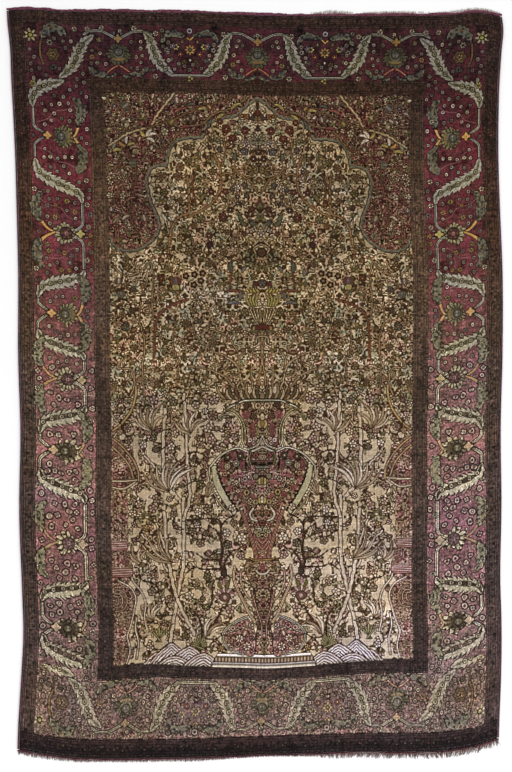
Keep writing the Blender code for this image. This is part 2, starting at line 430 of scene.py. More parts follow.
def green_leaf(points, width=30.0, colour=LEAF):
    """A broad curled leaf at the end of a forked stalk, ragged at its edges and mottled inside."""
    line = through(points, 6)
    v = points[0][1]
    where, d, side, share = near(line, width)
    rise = np.clip(np.sin(np.pi * np.clip(share, 0.03, 1) ** 0.8), 0, 1) ** 0.5
    saw = (share * 5 + side * 0.25) % 1.0
    body = width * (0.36 + 0.13 * saw) * rise
    body = body + 2.2 * DAPPLES[0][where]
    lay(where, d - body - faded(v, 2.8, 2.2), INK, 0.9)
    lay(where, d - body, faded(v, 0x928A68, colour))
    dapple = DAPPLES[1][where]
    lay(where, np.maximum(d - body, (faded(v, 0.2, 0.5) - dapple) * 5), faded(v, 0xAA9E74, 0x7C8262), 0.6)
    lay(where, np.maximum(d - body, (faded(v, 0.4, 0.3) + dapple) * 5), faded(v, 0x3A2C22, 0x2C2A20), 0.8)
    lay(where, np.maximum(d - body + 3, (1.0 - DAPPLES[2][where]) * 5), 0x967046, 0.6)
    lit_edge = np.maximum(body - 3.2 - d, -side * 9)
    lay(where, np.maximum(d - body, lit_edge), faded(v, 0xAAA478, 0x8E9268), 0.6)
    keep_clear(where, d - body - 2)


def palmette(u, v, heading, kind):
    """A big border flower side on: a gold calyx at its foot and a ragged fan of long petals above it."""
    where, x, y = at(u, v, 60, heading)
    x, y = x / PALMETTE_SIZE, y / PALMETTE_SIZE
    if kind == "fan" and v < 1100:
        x = 0.84 * (x + 4)
    angle = np.arctan2(y, x)
    d = np.hypot(x, y)
    rough = DAPPLES[0][where]
    petal = np.cos(angle * (12 if v < 900 else 17) + faded(v, 0.5, 1.1) * rough)
    reach = 24 + 5.5 * np.cos(angle) + 2.4 * petal + 2.6 * np.cos(angle * 5 + 1) + faded(v, 3.2,
            2.4) * rough
    lay(where, d - reach - faded(v, 3.0, 2.0), INK)
    worked = 0x8A8256 if kind == "fan" else 0x9E906A
    if v > 1850:
        worked = 0x605E44
    lay(where, d - reach, faded(v, 0xCCB690, worked))
    lay(where, np.maximum(d - reach, petal * 5 + 2.2), faded(v, 0x3C2A1E, 0x383222), 0.95)
    dapple = (faded(v, 0.9, 0.5) - DAPPLES[1][where]) * 6
    lay(where, np.maximum(d - reach, dapple), faded(v, 0x684A3E, 0x544A32), 0.75)
    lay(where, d - 15.5 - 1.5 * rough, INK, 0.9)
    if kind == "fan":
        lay(where, d - 14 - 1.5 * rough, faded(v, 0x706244, 0x78785A))
        lay(where, np.maximum(d - 20, np.abs(x - 16) - 3.4), faded(v, 0xA08458, 0xAC844A), 0.8)
        lay(where, np.maximum(d - 21, np.abs(x - 21) - 1.2), INK, 0.8)
        lay(where, np.abs(np.hypot(x + 2, y * 0.9) - 9) - 1.2, INK, 0.8)
        lay(where, np.hypot(x + 2, y * 0.9) - 7, faded(v, 0x928660, 0x5A5F50))
        lay(where, np.maximum(d - 22, 0.9 - 9 * np.abs(np.sin(angle * 6.5))), faded(v, 0x34281C, 0x3C3A2A),
            faded(v, 0.6, 0.2))
        lay(where, np.hypot(x + 1, np.abs(y) - 3.5) - 2.4, faded(v, 0xB0A488, 0x8E8E7C), 0.8)
    else:
        lay(where, d - 13 - 1.5 * rough, faded(v, 0x845E5C, 0x5C3E32))
        lay(where, np.maximum(d - 13, np.cos(angle * 6 + rough) * 4), faded(v, 0x563E3E, 0x3A2624))
        lay(where, d - 4.2, faded(v, 0xA4847C, 0xA67068))
        lay(where, d - 1.8, INK)
    star, foot, side = at(u, v, 60, heading)
    foot = foot / PALMETTE_SIZE + 33
    side = side / PALMETTE_SIZE
    reach = np.hypot(foot, side)
    points = faded(v, 7.6, 6.2) + 4.0 * np.abs(np.cos(2 * np.arctan2(side, foot))) ** 3
    lay(star, reach - points - 1.6, INK)
    gold = dye(GOLD) * (0.82 if v > 1850 else 1) if kind == "fan" else 0xB2A05C
    lay(star, reach - points, faded(v, 0xC6A480, gold))
    for sign in (-1, 1):
        lay(star, np.hypot(foot + 12, (side - sign * 7) * 1.6) - 6, INK, 0.8)
        lay(star, np.hypot(foot + 13, (side - sign * 8) * 2) - 4, faded(v, 0xA89A7E, 0x868A74), 0.8)
    keep_clear(where, d - 34)


def tapered(points, low, high, colour):
    """A stalk that widens from one end to the other."""
    line = through(points, 6)
    where, d, side, share = near(line, high)
    half = (low + (high - low) * share) / 2
    lay(where, d - half - 1.4, INK)
    lay(where, d - half, colour)
    keep_clear(where, d - half - 2)


def fork(u, v, heading):
    """The gold stalks beyond a palmette's tip, each thickening into a big green leaf."""
    c, s = math.cos(heading), math.sin(heading)

    def place(x, y):
        return u + x * c - y * s, v + x * s + y * c

    out = 47 if c > 0 else 72
    for sign in (-1, 1):
        longer = 1.0 if sign * c < 0 else 1.35
        stalk = [place(31, 0), place(0.5 * (31 + out), sign * 11), place(out, sign * 27 * longer)]
        tapered(stalk, 4.5, 9.0, faded(v, 0xB88E68, 0xCE985C if c > 0 else 0xBE8C4C))
        leaf = [place(out - 1, sign * 24 * longer), place(out + 7, sign * (24 * longer + 26)),
                place(out + 4, sign * (24 * longer + 54)), place(out - 12, sign * (24 * longer + 76))]
        green_leaf(leaf, 31.0, 0x64624A if c > 0 else 0x5E604C)


# The side border: palmette centres up the rug, and which edge each grows from (-1 the outer one).
PALMETTES = [(340, -1, "fan"), (571, 1, "sun"), (820, -1, "fan"), (1015, 1, "sun"), (1191, -1, "fan"),
             (1411, 1, "sun"), (1673, -1, "fan")]
# The toothed leaves that carry the stem across: along at the outer side, along at the inner side.
CROSSINGS = [(308, 236), (414, 462), (757, 692), (872, 936), (1136, 1078), (1240, 1304), (1598, 1506),
             (1752, 1850)]
STEM_OUT, STEM_IN = -600.0, -477.0

# stem runs between the crossings, dipping in to each palmette's calyx
STEM_ENDS = [(314, 408), (470, 684), (764, 866), (944, 1070), (1142, 1234), (1312, 1500), (1604, 1746)]
for (along, side, kind), ends in zip(PALMETTES, STEM_ENDS):
    wall = STEM_OUT if side < 0 else STEM_IN
    for sign, end in zip((-1, 1), ends):
        vine([(wall, end), (wall, (end + along + sign * 26) / 2), (wall - side * 2, along + sign * 24),
              (wall - side * 26, along + sign * 5)])
for along_out, along_in in CROSSINGS[:-1]:
    rise = along_in - along_out
    saw_leaf([(STEM_OUT, along_out - 0.1 * rise), (STEM_OUT + 10, along_out + 0.28 * rise),
              (STEM_OUT + 42, along_out + 0.50 * rise), (STEM_OUT + 78, along_out + 0.66 * rise),
              (STEM_IN - 8, along_out + 0.86 * rise), (STEM_IN, along_out + 1.1 * rise)])
saw_leaf([(-600, 1752), (-598, 1776), (-580, 1800), (-552, 1812), (-516, 1824)], 33)
saw_leaf([(-524, 1834), (-504, 1850), (-486, 1872), (-474, 1902), (-458, 1928), (-434, 1948)], 33)
for along, side, kind in PALMETTES:
    heading = 0.0 if side < 0 else math.pi
    u = -526 if side < 0 else -522
    palmette(u, along, heading, kind)
    fork(u, along, heading)


def beside(u, sign, run):
    """A run of points given by how far each is from u, set to one side of it."""
    return [(u + sign * off, v) for off, v in run]


# The top border, drawn hanging; the bottom border is the same cartoon turned over.
for u in (-368, 0):
    for sign in (-1, 1):
        vine(beside(u, sign, [(88, 1952), (72, 1960), (44, 1960), (22, 1950), (8, 1942)]))
    for sign in (1, -1) if u == 0 else (1,):
        saw_leaf(beside(u, sign, [(70, 1958), (84, 1938), (92, 1908), (106, 1878), (128, 1856),
                                  (142, 1846)]), 31)
    palmette(u, 1902, -math.pi / 2, "fan")
    for sign in (-1, 1):
        stroke(through(beside(u, sign, [(4, 1866), (18, 1858), (38, 1842)]), 4), 3.8, 0xB86E50, edge=INK,
               rim=1.2, guard=2)
        green_leaf(beside(u, sign, [(34, 1844), (58, 1846), (80, 1866)]), 18, 0x565D4E)
        green_leaf(beside(u, sign, [(6, 1846), (18, 1838), (32, 1836)]), 9, 0x565D4E)
# the lily that hangs between two palmettes
LILY = -179
vine([(-240, 1850), (-226, 1843), (LILY, 1842), (-134, 1843), (-120, 1850)])
for sign in (-1, 1):
    stroke(through(beside(LILY, sign, [(0, 1938), (10, 1948), (18, 1957)]), 4), 3.6, GOLD, edge=INK,
           rim=1.3)
    green_leaf(beside(LILY, sign, [(14, 1950), (40, 1956), (62, 1952), (76, 1934)]), 21, 0x5A6256)
    blossom(LILY + sign * 38, 1920, 9.5, 6, STRAW, MADDER)
    blossom(LILY + sign * 62, 1912, 7, 5, SAGE, SOOT)
ring(LILY, 1963, 7, pale=0xA09696)
blossom(LILY, 1912, 14, 8, dye(GOLD) * 0.9, 0x5A6E46)
for sign in (-1, 1):
    for off, v, r, petal, heart in [(26, 1900, 8, 0x8C423C, GOLD), (46, 1922, 8, 0x70807C, GOLD),
                                    (20, 1934, 6, 0x78603C, BONE), (16, 1878, 7, 0x6E5C38, MADDER),
                                    (50, 1886, 7, 0x60684A, BONE)]:
        blossom(LILY + sign * off, v, r, 5, petal, heart)
blossom(LILY, 1884, 10, 6, AUBERGINE, BONE)
blossom(LILY, 1834, 8, 3, STRAW, MADDER)
where, x, y = at(LILY, 1915, 60)
keep_clear(where, np.hypot(x / 1.6, y) - 30)

# the corner: a curled leaf on a brown stalk round a dark flower, and a yellow star
stroke(through([(-566, 1866), (-574, 1890), (-573, 1920), (-562, 1944), (-546, 1960)]), 5.0, 0x705834,
       edge=INK, rim=1.6, guard=2)
green_leaf([(-568, 1940), (-544, 1966), (-518, 1962), (-500, 1946)], 27, 0x5E6452)
blossom(-597, 1944, 19, 7, 0xB0A676, 0x969646, deep=0.36, turn=1)
blossom(-541, 1894, 19, 6, 0x604A30, 0x3C4A38, deep=0.12)
blossom(-541, 1894, 9, 5, 0x967648, MADDER)
blossom(-548, 1926, 9, 6, 0x928A6C, SOOT)
blossom(-540, 1860, 9, 6, 0x606854, SOOT)
blossom(-596, 1812, 10, 6, STRAW, 0x5A6E46, deep=0.3)
clear_round(-597, 1944, 22)
clear_round(-541, 1894, 26)

# small pale flowers in the bends outside the stem
for u, v in [(-604, 1526), (-464, 1556), (-464, 1490), (-462, 1430), (-468, 1340), (-470, 1720),
             (-604, 1310), (-602, 1100), (-464, 1150), (-604, 985), (-466, 905), (-466, 800), (-603, 720),
             (-604, 640), (-470, 640), (-604, 500), (-466, 480), (-466, 400), (-466, 335), (-605, 260),
             (-446, 1966), (-325, 1968), (-409, 1969), (-268, 1956), (-90, 1956), (-271, 1840), (-85, 1840),
             (-480, 1966), (-470, 1920)]:
    blossom(u, v, 7.5, 7, 0xCEBA96, 0x60704A, deep=0.3, turn=u)
    clear_round(u, v, 10)


def is_free(u, v, r):
    """True where nothing has been drawn within r of a point."""
    column = (u + WIDTH / 2) / STEP_ACROSS
    row = v / STEP_ALONG
    reach = r / STEP_ALONG
    if column - reach < 0 or row - reach < 0 or row + reach >= HEIGHT or column >= HALF + 3:
        return False
    c = np.minimum((column + reach * DISC[:, 0]).astype(int), HALF - 1)
    return not taken[(row + reach * DISC[:, 1]).astype(int), c].any()


# a few points over a disc, in shares of its radius: the middle and three rings of twelve
turns = np.arange(12) * math.pi / 6
ring_of_points = np.stack([np.cos(turns), np.sin(turns)], axis=1)
DISC = np.concatenate([[[0, 0]], 0.35 * ring_of_points, 0.7 * ring_of_points, ring_of_points])

# thin mauve stems that wander through the pockets of plum
for along, side, kind in PALMETTES:
    wall = STEM_OUT if side < 0 else STEM_IN
    for sign in (-1, 1):
        stroke(through([(wall - side * 10, along + sign * 34), (wall - side * 40, along + sign * 46),
                        (wall - side * 56, along + sign * 66), (wall - side * 90, along + sign * 74),
                        (wall - side * 112, along + sign * 88)]), 2.8, 0x965C5C, 0.7)

# rings set in rows in the pockets either side of each palmette: off its middle across, and along
POCKET = [(-44, 30), (-26, 43), (-41, 67), (-24, 85), (-3, 88), (10, 106), (28, 127), (27, 73), (-46, -38),
          (-52, -60), (-34, -57), (-15, -60), (5, -54), (24, -53), (-32, -98), (-14, -98), (16, -101)]


def strew(u, v, dull=0.0, odd=0.1):
    """One of the small rings, in one of the pale dyes."""
    pale = dye(draw.choice([0xCEB496, 0xCEB496, 0xBC9688, 0x9E907A]))
    pale = faded(v, pale * 0.55 + dye(0xAA8072) * 0.45, pale * (1 - dull))
    heart = draw.choice([MADDER, pale, 0x965A4C])
    if v > 1050:
        if draw.random() < odd:
            r = draw.uniform(5.6, 8.0)
            blossom(u, v, r, 7, draw.choice([0x707662, 0x9C844E, 0xA47A46]), heart)
        else:
            ring(u, v, draw.uniform(4.1, 5.2), pale=pale, heart=heart, edge=INK)
        clear_round(u, v, 9)
        return
    r = draw.uniform(6.4, 9.0)
    blossom(u, v, r, draw.choice([2, 2, 3, 4]), pale, heart, turn=draw.uniform(0, 6), rim=3.3,
            deep=draw.uniform(0.08, 0.2), core=draw.uniform(0.36, 0.5))
    clear_round(u, v, r + 3.4)


for along, side, kind in PALMETTES:
    for across, up in POCKET:
        u = -526 + across if side < 0 else -522 - across
        if is_free(u, along + up, 6.5):
            strew(u + draw.uniform(-2, 2), along + up + draw.uniform(-2, 2), 0.0 if kind == "fan" else 0.12,
                  0.0 if kind == "fan" else 0.5)
for v in np.arange(216, 1960, 3.0):
    kind = min(PALMETTES, key=lambda row: abs(row[0] - v))[2]
    for tries in range(5):
        u = draw.uniform(-603, -456)
        if is_free(u, v, 9.2 if v > 1050 else 10.8):
            strew(u, v, draw.uniform(0, 0.5), 0.05 if kind == "fan" else 0.45)
for tries in range(1500):
    u, v = draw.uniform(-450, -1), draw.uniform(1846, 1966)
    if is_free(u, v, 7.0):
        strew(u, v, draw.uniform(0, 0.45))

# the bottom border repeats the top one turned over, a little longer, its dyes paler and dustier, partly sun
# fading and partly painted pile sheen
# left and right of each stretch, its own low and high rows, the high and low rows that it repeats
TURNED = [
    (-INNER, 0, BOTTOM_OUTER, BOTTOM_INNER, TOP_OUTER, TOP_INNER),
    (-OUTER, -INNER, BOTTOM_OUTER, 236, TOP_OUTER, 1806),
]
for left, right, low, high, top, foot in TURNED:
    rows = np.where((sample_along >= low) & (sample_along < high))[0]
    source = ((top - (sample_along[rows] - low) * (top - foot) / (high - low)) / STEP_ALONG).astype(int)
    cols = np.where((sample_across >= left) & (sample_across < right))[0]
    motif = cloth[np.ix_(source, cols)]
    drawn = np.abs(motif - bare[np.ix_(source, cols)]).max(axis=2, keepdims=True)
    drawn = np.clip((drawn - 0.01) / 0.05, 0, 1)
    sun_and_sheen = motif + (dye(0xECD6B2) - motif) * np.clip(motif.mean(axis=2, keepdims=True) * 1.5 - 0.3, 0, 0.5)
    sun_and_sheen = sun_and_sheen * np.array([1.03, 0.98, 0.94])
    cloth[np.ix_(rows, cols)] = bare[np.ix_(rows, cols)] * (1 - drawn) + sun_and_sheen * drawn
    taken[np.ix_(rows, cols)] = taken[np.ix_(source, cols)]

# the sunned end is the busiest: every bare patch of it is filled with small curling stems and leaves
STEMS = tendrils(71, 8.2)
# dyes: pale, middle, dark, rosy, green, brown, red
SUNNED_DYES = (0xBE9E86, 0x906E5E, 0x3A281E, 0xA46C66, 0x7C7250, 0x6C4E36, 0x884E4E)
low_end = ALONG < 214 + 26 * cloud(72, 18, 14)[..., 0]
thicket(main_border & low_end & ~taken, STEMS, SUNNED_DYES, turns=1.2, strength=0.7)
thicket(main_border & low_end & taken, STEMS, SUNNED_DYES, turns=1.2, strength=0.16)
risen = main_border & ~low_end & (ALONG < 1010 + 40 * cloud(73, 30, 20)[..., 0])
thicket(risen & ~taken & (cloud(74, 16, 14)[..., 0] > 0.3), STEMS, SUNNED_DYES, turns=1.1, strength=0.42)


def guard_stripe(horizontal, centre, low, high, half, lead, dark):
    """A narrow guard: a worn wavering vine of tiny flowers between broken lines."""

    def put(place, off, r, colour, strength):
        off += draw.uniform(-1.6, 1.6)
        place += draw.uniform(-3, 3)
        u, v = (place, centre + off) if horizontal else (centre + off, place)
        disc(u, v, r, colour, strength * draw.choice([0.1, 0.35, 0.6, 0.8]))

    for share in (-0.96, -0.7, -0.4, 0.4, 0.7, 0.96):
        for begin in np.arange(low, high, 15.0):
            end = min(begin + 15, high)
            side = centre + share * half + draw.uniform(-0.5, 0.5)
            ends = [(begin, side), (end, side)] if horizontal else [(side, begin), (side, end)]
            stroke(np.array(ends, float), 1.8, dark, draw.uniform(0.15, 0.85))
    for place in np.arange(low + 2, high - 2, 5.4):
        put(place, -0.84 * half, 1.5, lead, 0.9)
        put(place, 0.84 * half, 1.5, lead, 0.9)
    step = 10.4
    for k in range(int((high - low) / step)):
        place = low + (k + 0.5) * step
        sway = 3.4 if k % 2 else -3.4
        put(place, sway, 4.2, dark, 0.9)
        put(place, sway, 2.4, draw.choice([lead, 0x804C42, 0x6E6842]), 0.8)
        put(place + step / 2, -sway, 1.7, lead, 0.6)
        put(place, draw.uniform(-0.85, 0.85) * half, 1.9, dark, 0.8)


guard_stripe(False, -(INNER + FIELD) / 2, BOTTOM_INNER, TOP_INNER, 21, 0x8A6C56, 0x32221B)
guard_stripe(False, -(WIDTH / 2 + OUTER) / 2, 10, LENGTH - 8, 19, 0x745C4C, 0x241814)
guard_stripe(True, (TOP_INNER + TOP_FIELD) / 2, -INNER, 0, 19, 0x76624E, 0x261810)
guard_stripe(True, (TOP_OUTER + LENGTH) / 2, -WIDTH / 2, 0, 17, 0x706054, 0x221412)
guard_stripe(True, (BOTTOM_INNER + BOTTOM_FIELD) / 2, -INNER, 0, 19, 0x766256, 0x2A1E1C)
guard_stripe(True, BOTTOM_OUTER / 2, -WIDTH / 2, 0, 23, 0x604A40, 0x161010)


# ---------------------------------------------------------------- the field
# An ivory garden under a lobed arch: two trunks, a vase on a domed foot, hills, palms and branches, and
# flowers in every space between. Darker and redder corners, crowded with flowers, fill in over the arch.


def patch(points, colour, edge=None, rim=1.6, smooth=True):
    """A filled shape with a dark line round it; returns its samples and the signed distance to its edge."""
    line = through(points + [points[0]], 5) if smooth else np.array(points + [points[0]], float)
    where, d, side, share = near(line, rim + 3)
    x = sample_across[where[1]][None, :]
    y = sample_along[where[0]][:, None]
    inside = np.zeros(d.shape, bool)
    for a, b in zip(line[:-1], line[1:]):
        if a[1] == b[1]:
            continue
        crosses = (a[1] > y) != (b[1] > y)
        inside ^= crosses & (x < a[0] + (b[0] - a[0]) * (y - a[1]) / (b[1] - a[1]))
    signed = np.where(inside, -d, d)
    if edge is not None:
        lay(where, signed - rim, edge)
    if colour is not None:
        lay(where, signed, colour)
    return where, signed


ARCH = [(-405, 1400), (-395, 1380), (-370, 1368), (-340, 1368), (-310, 1382), (-285, 1405), (-272, 1435),
        (-278, 1465), (-292, 1495), (-300, 1530), (-303, 1560), (-290, 1590), (-265, 1600), (-250, 1600),
        (-245, 1625), (-235, 1650), (-215, 1668), (-185, 1675), (-150, 1677), (-140, 1700), (-130, 1715),
        (-100, 1728), (-75, 1733), (-55, 1740), (-30, 1765), (0, 1787)]
garden = random.Random(21)
TWIG = 0x3E2C22
WINE = 0x48302A


def posy(u, v, r, petals, pale, dark=WINE, heart=None, turn=0.0):
    """A ring of round petals, each outlined in dark, about a dark heart."""
    where, x, y = at(u, v, r + 6)
    grid_d = np.hypot(x, y)
    size = r * 0.42
    reach = r - size
    eye = min(reach * math.sin(math.pi / petals) - 0.9, size - 1.3)
    nearest = np.full(grid_d.shape, 1e3)
    for k in range(petals):
        a = turn + 2 * math.pi * (k + garden.uniform(-0.08, 0.08)) / petals
        off = reach * garden.uniform(0.94, 1.06)
        nearest = np.minimum(nearest, np.hypot(x - off * math.cos(a), y - off * math.sin(a)))
    lay(where, nearest - size - 0.6, dark)
    lay(where, grid_d - reach, dark)
    lay(where, nearest - eye, pale)
    lay(where, grid_d - 0.18 * r, heart if heart is not None else pale)
    keep_clear(where, grid_d - r - 1)


def tulip(u, v, r, heading, sides, heart, edge=TWIG):
    """A flower side on: two outer petals and a pointed middle one."""
    where, x, y = at(u, v, r + 5, heading)
    for sign in (-1, 1):
        petal = np.hypot(x * 0.8, (y - sign * 0.42 * r) * 1.25) - 0.58 * r
        lay(where, petal - 1.6, edge)
        lay(where, petal, sides)
    petal = np.hypot((x - 0.15 * r) * 0.62, y * 1.5) - 0.50 * r
    lay(where, petal - 1.4, edge)
    lay(where, petal, heart)
    keep_clear(where, np.hypot(x, y) - r - 1)


def pod(u, v, length, heading, width, colour, edge=TWIG, eye=None):
    """A single outlined leaf."""
    c, s = math.cos(heading), math.sin(heading)
    bend = 0.14 * length
    line = through([(u, v), (u + c * length / 2 - s * bend, v + s * length / 2 + c * bend),
                    (u + c * length, v + s * length)], 4)
    where, d, side, share = near(line, width / 2 + 5.9)
    body = width / 2 * np.sin(np.pi * np.clip(share, 0, 1) ** 0.8) ** 0.8
    lay(where, d - body - 1.4, edge)
    lay(where, d - body, colour)
    if eye is not None:
        lay(where, d - 0.5 * body, eye)
    keep_clear(where, d - body - 2.4)


boughs = []


def bough(width, colour, points, rim=2.2):
    """A trunk or branch: a light stem between two dark lines, never quite straight."""
    line = through(points, 6)
    line = line + 1.3 * np.sin(np.arange(len(line))[:, None] * np.array([1.9, 2.7]) + line[0, 0])
    stroke(line, width, colour, edge=TWIG, rim=rim, guard=rim + 2)
    boughs.append(line)


def rib(width, colour, points):
    """A pale moulding between two dark lines."""
    stroke(through(points), width, colour, edge=TWIG, rim=2.0, guard=2)


def gnarled(width, points):
    """A dark knotty branch, thick at its foot."""
    line = through(points, 6)
    where, d, side, share = near(line, width)
    lay(where, d - width * (0.52 - 0.3 * share) - 0.9 * np.sin(share * 40), 0x423026)
    keep_clear(where, d - width * 0.5 - 1)
    boughs.append(line)


def within(outline, inset=1.0, smooth=False):
    """The samples inside an outline, as a mask of the whole drawing."""
    where, signed = patch(outline, None, smooth=smooth)
    mask = np.zeros((HEIGHT, HALF), bool)
    mask[where] = signed < -inset
    return mask


FINE, BROAD = tendrils(43, 9.8), tendrils(53, 10.2)
# dyes of a thicket: pale, middle, dark, rosy, green, brown, red
GARDEN_DYES = (0xD4B98A, 0x886E4C, 0x483421, 0x94725A, 0x7E8466, 0x6E5E32, 0x723830)
CORNER_DYES = (0xB8A27C, 0x52382C, 0x2A1914, 0x6C363C, 0x68664E, 0x503E26, 0x58222A)
ORCHARD_DYES = (0xCEB48A, 0x8E745C, 0x483428, 0x987064, 0x7A7858, 0x685438, 0x684440)
VASE_DYES = (0xC8AC88, 0x78584C, 0x32201C, 0x8E5458, 0x827654, 0x624A32, 0x68323A)
# the ground thickens above the middle of the garden, and is darker and redder in the corners over the arch
spandrel = [(-FIELD, 1400)] + ARCH[1:-1] + [(6, 1792), (6, TOP_FIELD), (-FIELD, TOP_FIELD)]
corner = within(spandrel, 0)
shade = (ALONG > 960 + 26 * cloud(41, 22, 18)[..., 0]) & (ALONG < TOP_FIELD) & (ACROSS > -FIELD)
thicket(shade & ~corner, FINE, GARDEN_DYES)
thicket(corner, tendrils(57, 8.2), CORNER_DYES, turns=1.5, dark_at=0.05, pale_at=0.4)
# its ground is rose low down and darker above
rosy = corner & (cloud(58, 13, 10)[..., 0] > -0.3)
low_part = ALONG < 1640
for part, left, colour in [(rosy & low_part, 0.66, 0x864652), (rosy & ~low_part, 0.68, 0x5A2A36)]:
    cloth[part] *= left
    cloth[part] += (1 - left) * dye(colour)
# lower down the leaves stand in clumps with the ivory ground open between them
clumps = cloud(61, 21, 17)[..., 0] + 0.6 * cloud(62, 9, 8)[..., 0]
orchard = (ACROSS > -FIELD) & (ALONG > BOTTOM_FIELD) & (ALONG < TOP_FIELD) & ~shade
thicket(orchard & (clumps > -0.2), BROAD, ORCHARD_DYES, turns=1.3)
rim_of_clumps = orchard & (np.abs(clumps + 0.2) < 0.11)
cloth[rim_of_clumps] += (dye(TWIG) - cloth[rim_of_clumps]) * 0.85

# the arch: a teal ribbon edged with cream
line = through(ARCH, 5)
where, d, side, share = near(line, 26)
ragged = (11 + 5.0 * np.sin(share * 150) + 3.5 * np.sin(share * 67 + 1)) * np.clip(share * 12, 0, 1)
lay(where, np.maximum(np.maximum(d - ragged - 1.6, 4 - d), side * 100), TWIG, 0.85)
lay(where, np.maximum(np.maximum(d - ragged, 5 - d), side * 100), 0xCCB484, 0.9)
line = line + 1.5 * np.sin(np.arange(len(line))[:, None] * np.array([1.7, 2.3]))
stroke(line, 9.6, 0x2C221A, guard=1)
where, d, side, share = near(line, 8)
lay(where, d - 2.5 - 0.7 * DAPPLES[0][where], 0x707A6C)
lay(where, np.maximum(np.abs(d - 3.2) - 1.0, -side), 0xAA9268, 0.7)

# the corners over the arch: cream branches and the pale petals at their tips
# thickness, colour, the points each branch runs through
CORNER_BRANCHES = [
    (5, 0xBEA076, [(-222, 1795), (-250, 1760), (-270, 1735), (-285, 1706), (-296, 1690)]),
    (4.5, 0xBEA678, [(-402, 1650), (-380, 1664), (-350, 1684), (-300, 1700)]),
    (2.8, 0x8C7052, [(-240, 1650), (-200, 1700), (-150, 1712), (-120, 1738), (-60, 1762), (-20, 1794)]),
    (2.4, 0x7C5C46, [(-300, 1700), (-230, 1722), (-190, 1740), (-110, 1770), (-60, 1790)]),
    (2.6, 0x80544C, [(-330, 1420), (-350, 1460), (-340, 1520), (-330, 1580), (-352, 1640)]),
]
for branch in CORNER_BRANCHES:
    bough(*branch)
for u, v, reach, heading, tint in [(-300, 1676, 30, 0.3, BONE), (-300, 1676, 26, 0.9, BONE),
                                   (-300, 1672, 26, -0.5, BONE), (-302, 1676, 24, 2.2, STRAW),
                                   (-352, 1652, 22, 0.2, STRAW), (-354, 1656, 22, 1.4, BONE),
                                   (-358, 1650, 20, 2.5, GOLD), (-392, 1636, 26, 0.1, STRAW),
                                   (-392, 1640, 20, 1.0, SAGE)]:
    pod(u, v, reach, heading, 8, tint)


# the upper course of the arch by its places across, and its side by its places along
ARCH_TOP = [point for point in ARCH if point[1] > 1590]
ARCH_SIDE = [(1368, -345), (1382, -310), (1405, -285), (1435, -272), (1465, -278), (1495, -292),
             (1530, -300), (1560, -303), (1590, -290), (1602, -250)]


def arched(u, v):
    """True over the arch, in its corners."""
    if u > -250 or v > 1790:
        return v > 1790 or v > read_off(ARCH_TOP, 1, u)
    return v >= 1368 and u < read_off(ARCH_SIDE, 1, v)


# --- the lower garden: trunks, knotted branches, grasses
# thickness and course of the pale trunks, then of the dark knotty branches
TRUNKS = [
    (8, [(-256, 292), (-250, 340), (-235, 420), (-225, 470), (-215, 520), (-212, 600), (-213, 700)]),
    (8, [(-190, 326), (-205, 356), (-228, 410), (-240, 450), (-250, 500), (-258, 560), (-264, 660)]),
    (8, [(-222, 690), (-240, 712), (-262, 736), (-268, 800), (-268, 872), (-262, 940)]),
    (4, [(-258, 500), (-275, 535), (-300, 575), (-330, 604)]),
    (4, [(-262, 560), (-275, 600), (-290, 640)]),
    (7, [(-213, 640), (-196, 700), (-200, 760), (-205, 830), (-208, 920), (-212, 980)]),
    (4, [(-260, 738), (-235, 766), (-205, 787)]),
    (4, [(-270, 760), (-292, 785), (-318, 812)]),
]
KNOTTY = [
    (8, [(-172, 318), (-170, 350), (-182, 380), (-200, 400)]),
    (7, [(-168, 330), (-140, 352), (-122, 380), (-112, 400)]),
    (5, [(-160, 316), (-150, 312), (-128, 312)]),
    (7, [(-104, 480), (-108, 500), (-120, 505), (-160, 505), (-185, 512), (-205, 498)]),
    (7, [(-108, 500), (-122, 530), (-150, 530), (-178, 548)]),
    (7, [(-106, 500), (-100, 528), (-82, 552), (-62, 560)]),
    (8, [(-116, 520), (-108, 555), (-114, 590), (-112, 622), (-120, 640), (-160, 642), (-205, 640)]),
    (6, [(-113, 590), (-126, 612), (-146, 622)]),
    (6, [(-112, 620), (-96, 640), (-74, 652)]),
    (5, [(-140, 410), (-138, 440), (-134, 470), (-110, 488)]),
    (6, [(-200, 820), (-180, 824), (-160, 816)]),
    (5, [(-165, 704), (-146, 706), (-122, 704)]),
    (5, [(-290, 470), (-282, 440), (-274, 410)]),
    (5, [(-300, 470), (-330, 480), (-334, 520), (-322, 556)]),
]
for thickness, points in TRUNKS:
    bough(thickness, 0xCAB28E, points)
for thickness, points in KNOTTY:
    gnarled(thickness, points)
where, x, y = at(-106, 496, 22)
lay(where, np.hypot(x, y * 0.9) - 11 - 3 * DAPPLES[0][where], TWIG)
disc(-104, 494, 6, 0x3E4A40, 0.6)
# the big lotus
for k in range(9):
    a = math.pi * (0.02 + k / 8 * 0.96)
    pod(-104, 430, 28, a, 8, 0x9C7C6C if k % 2 else 0xBEA484, eye=0x825458 if k % 2 else None)
where, x, y = at(-104, 428, 24)
lay(where, np.hypot(x, y * 1.3) - 17, TWIG)
lay(where, np.hypot(x, y * 1.3) - 14, 0x6C4C46)
disc(-104, 428, 5, 0xB89E84)
for sign in (-1, 1):
    pod(-104 + sign * 8, 452, 22, math.pi / 2 - sign * 0.3, 9, OLIVE)
pod(-104, 460, 20, math.pi / 2, 9, 0x9C7670)
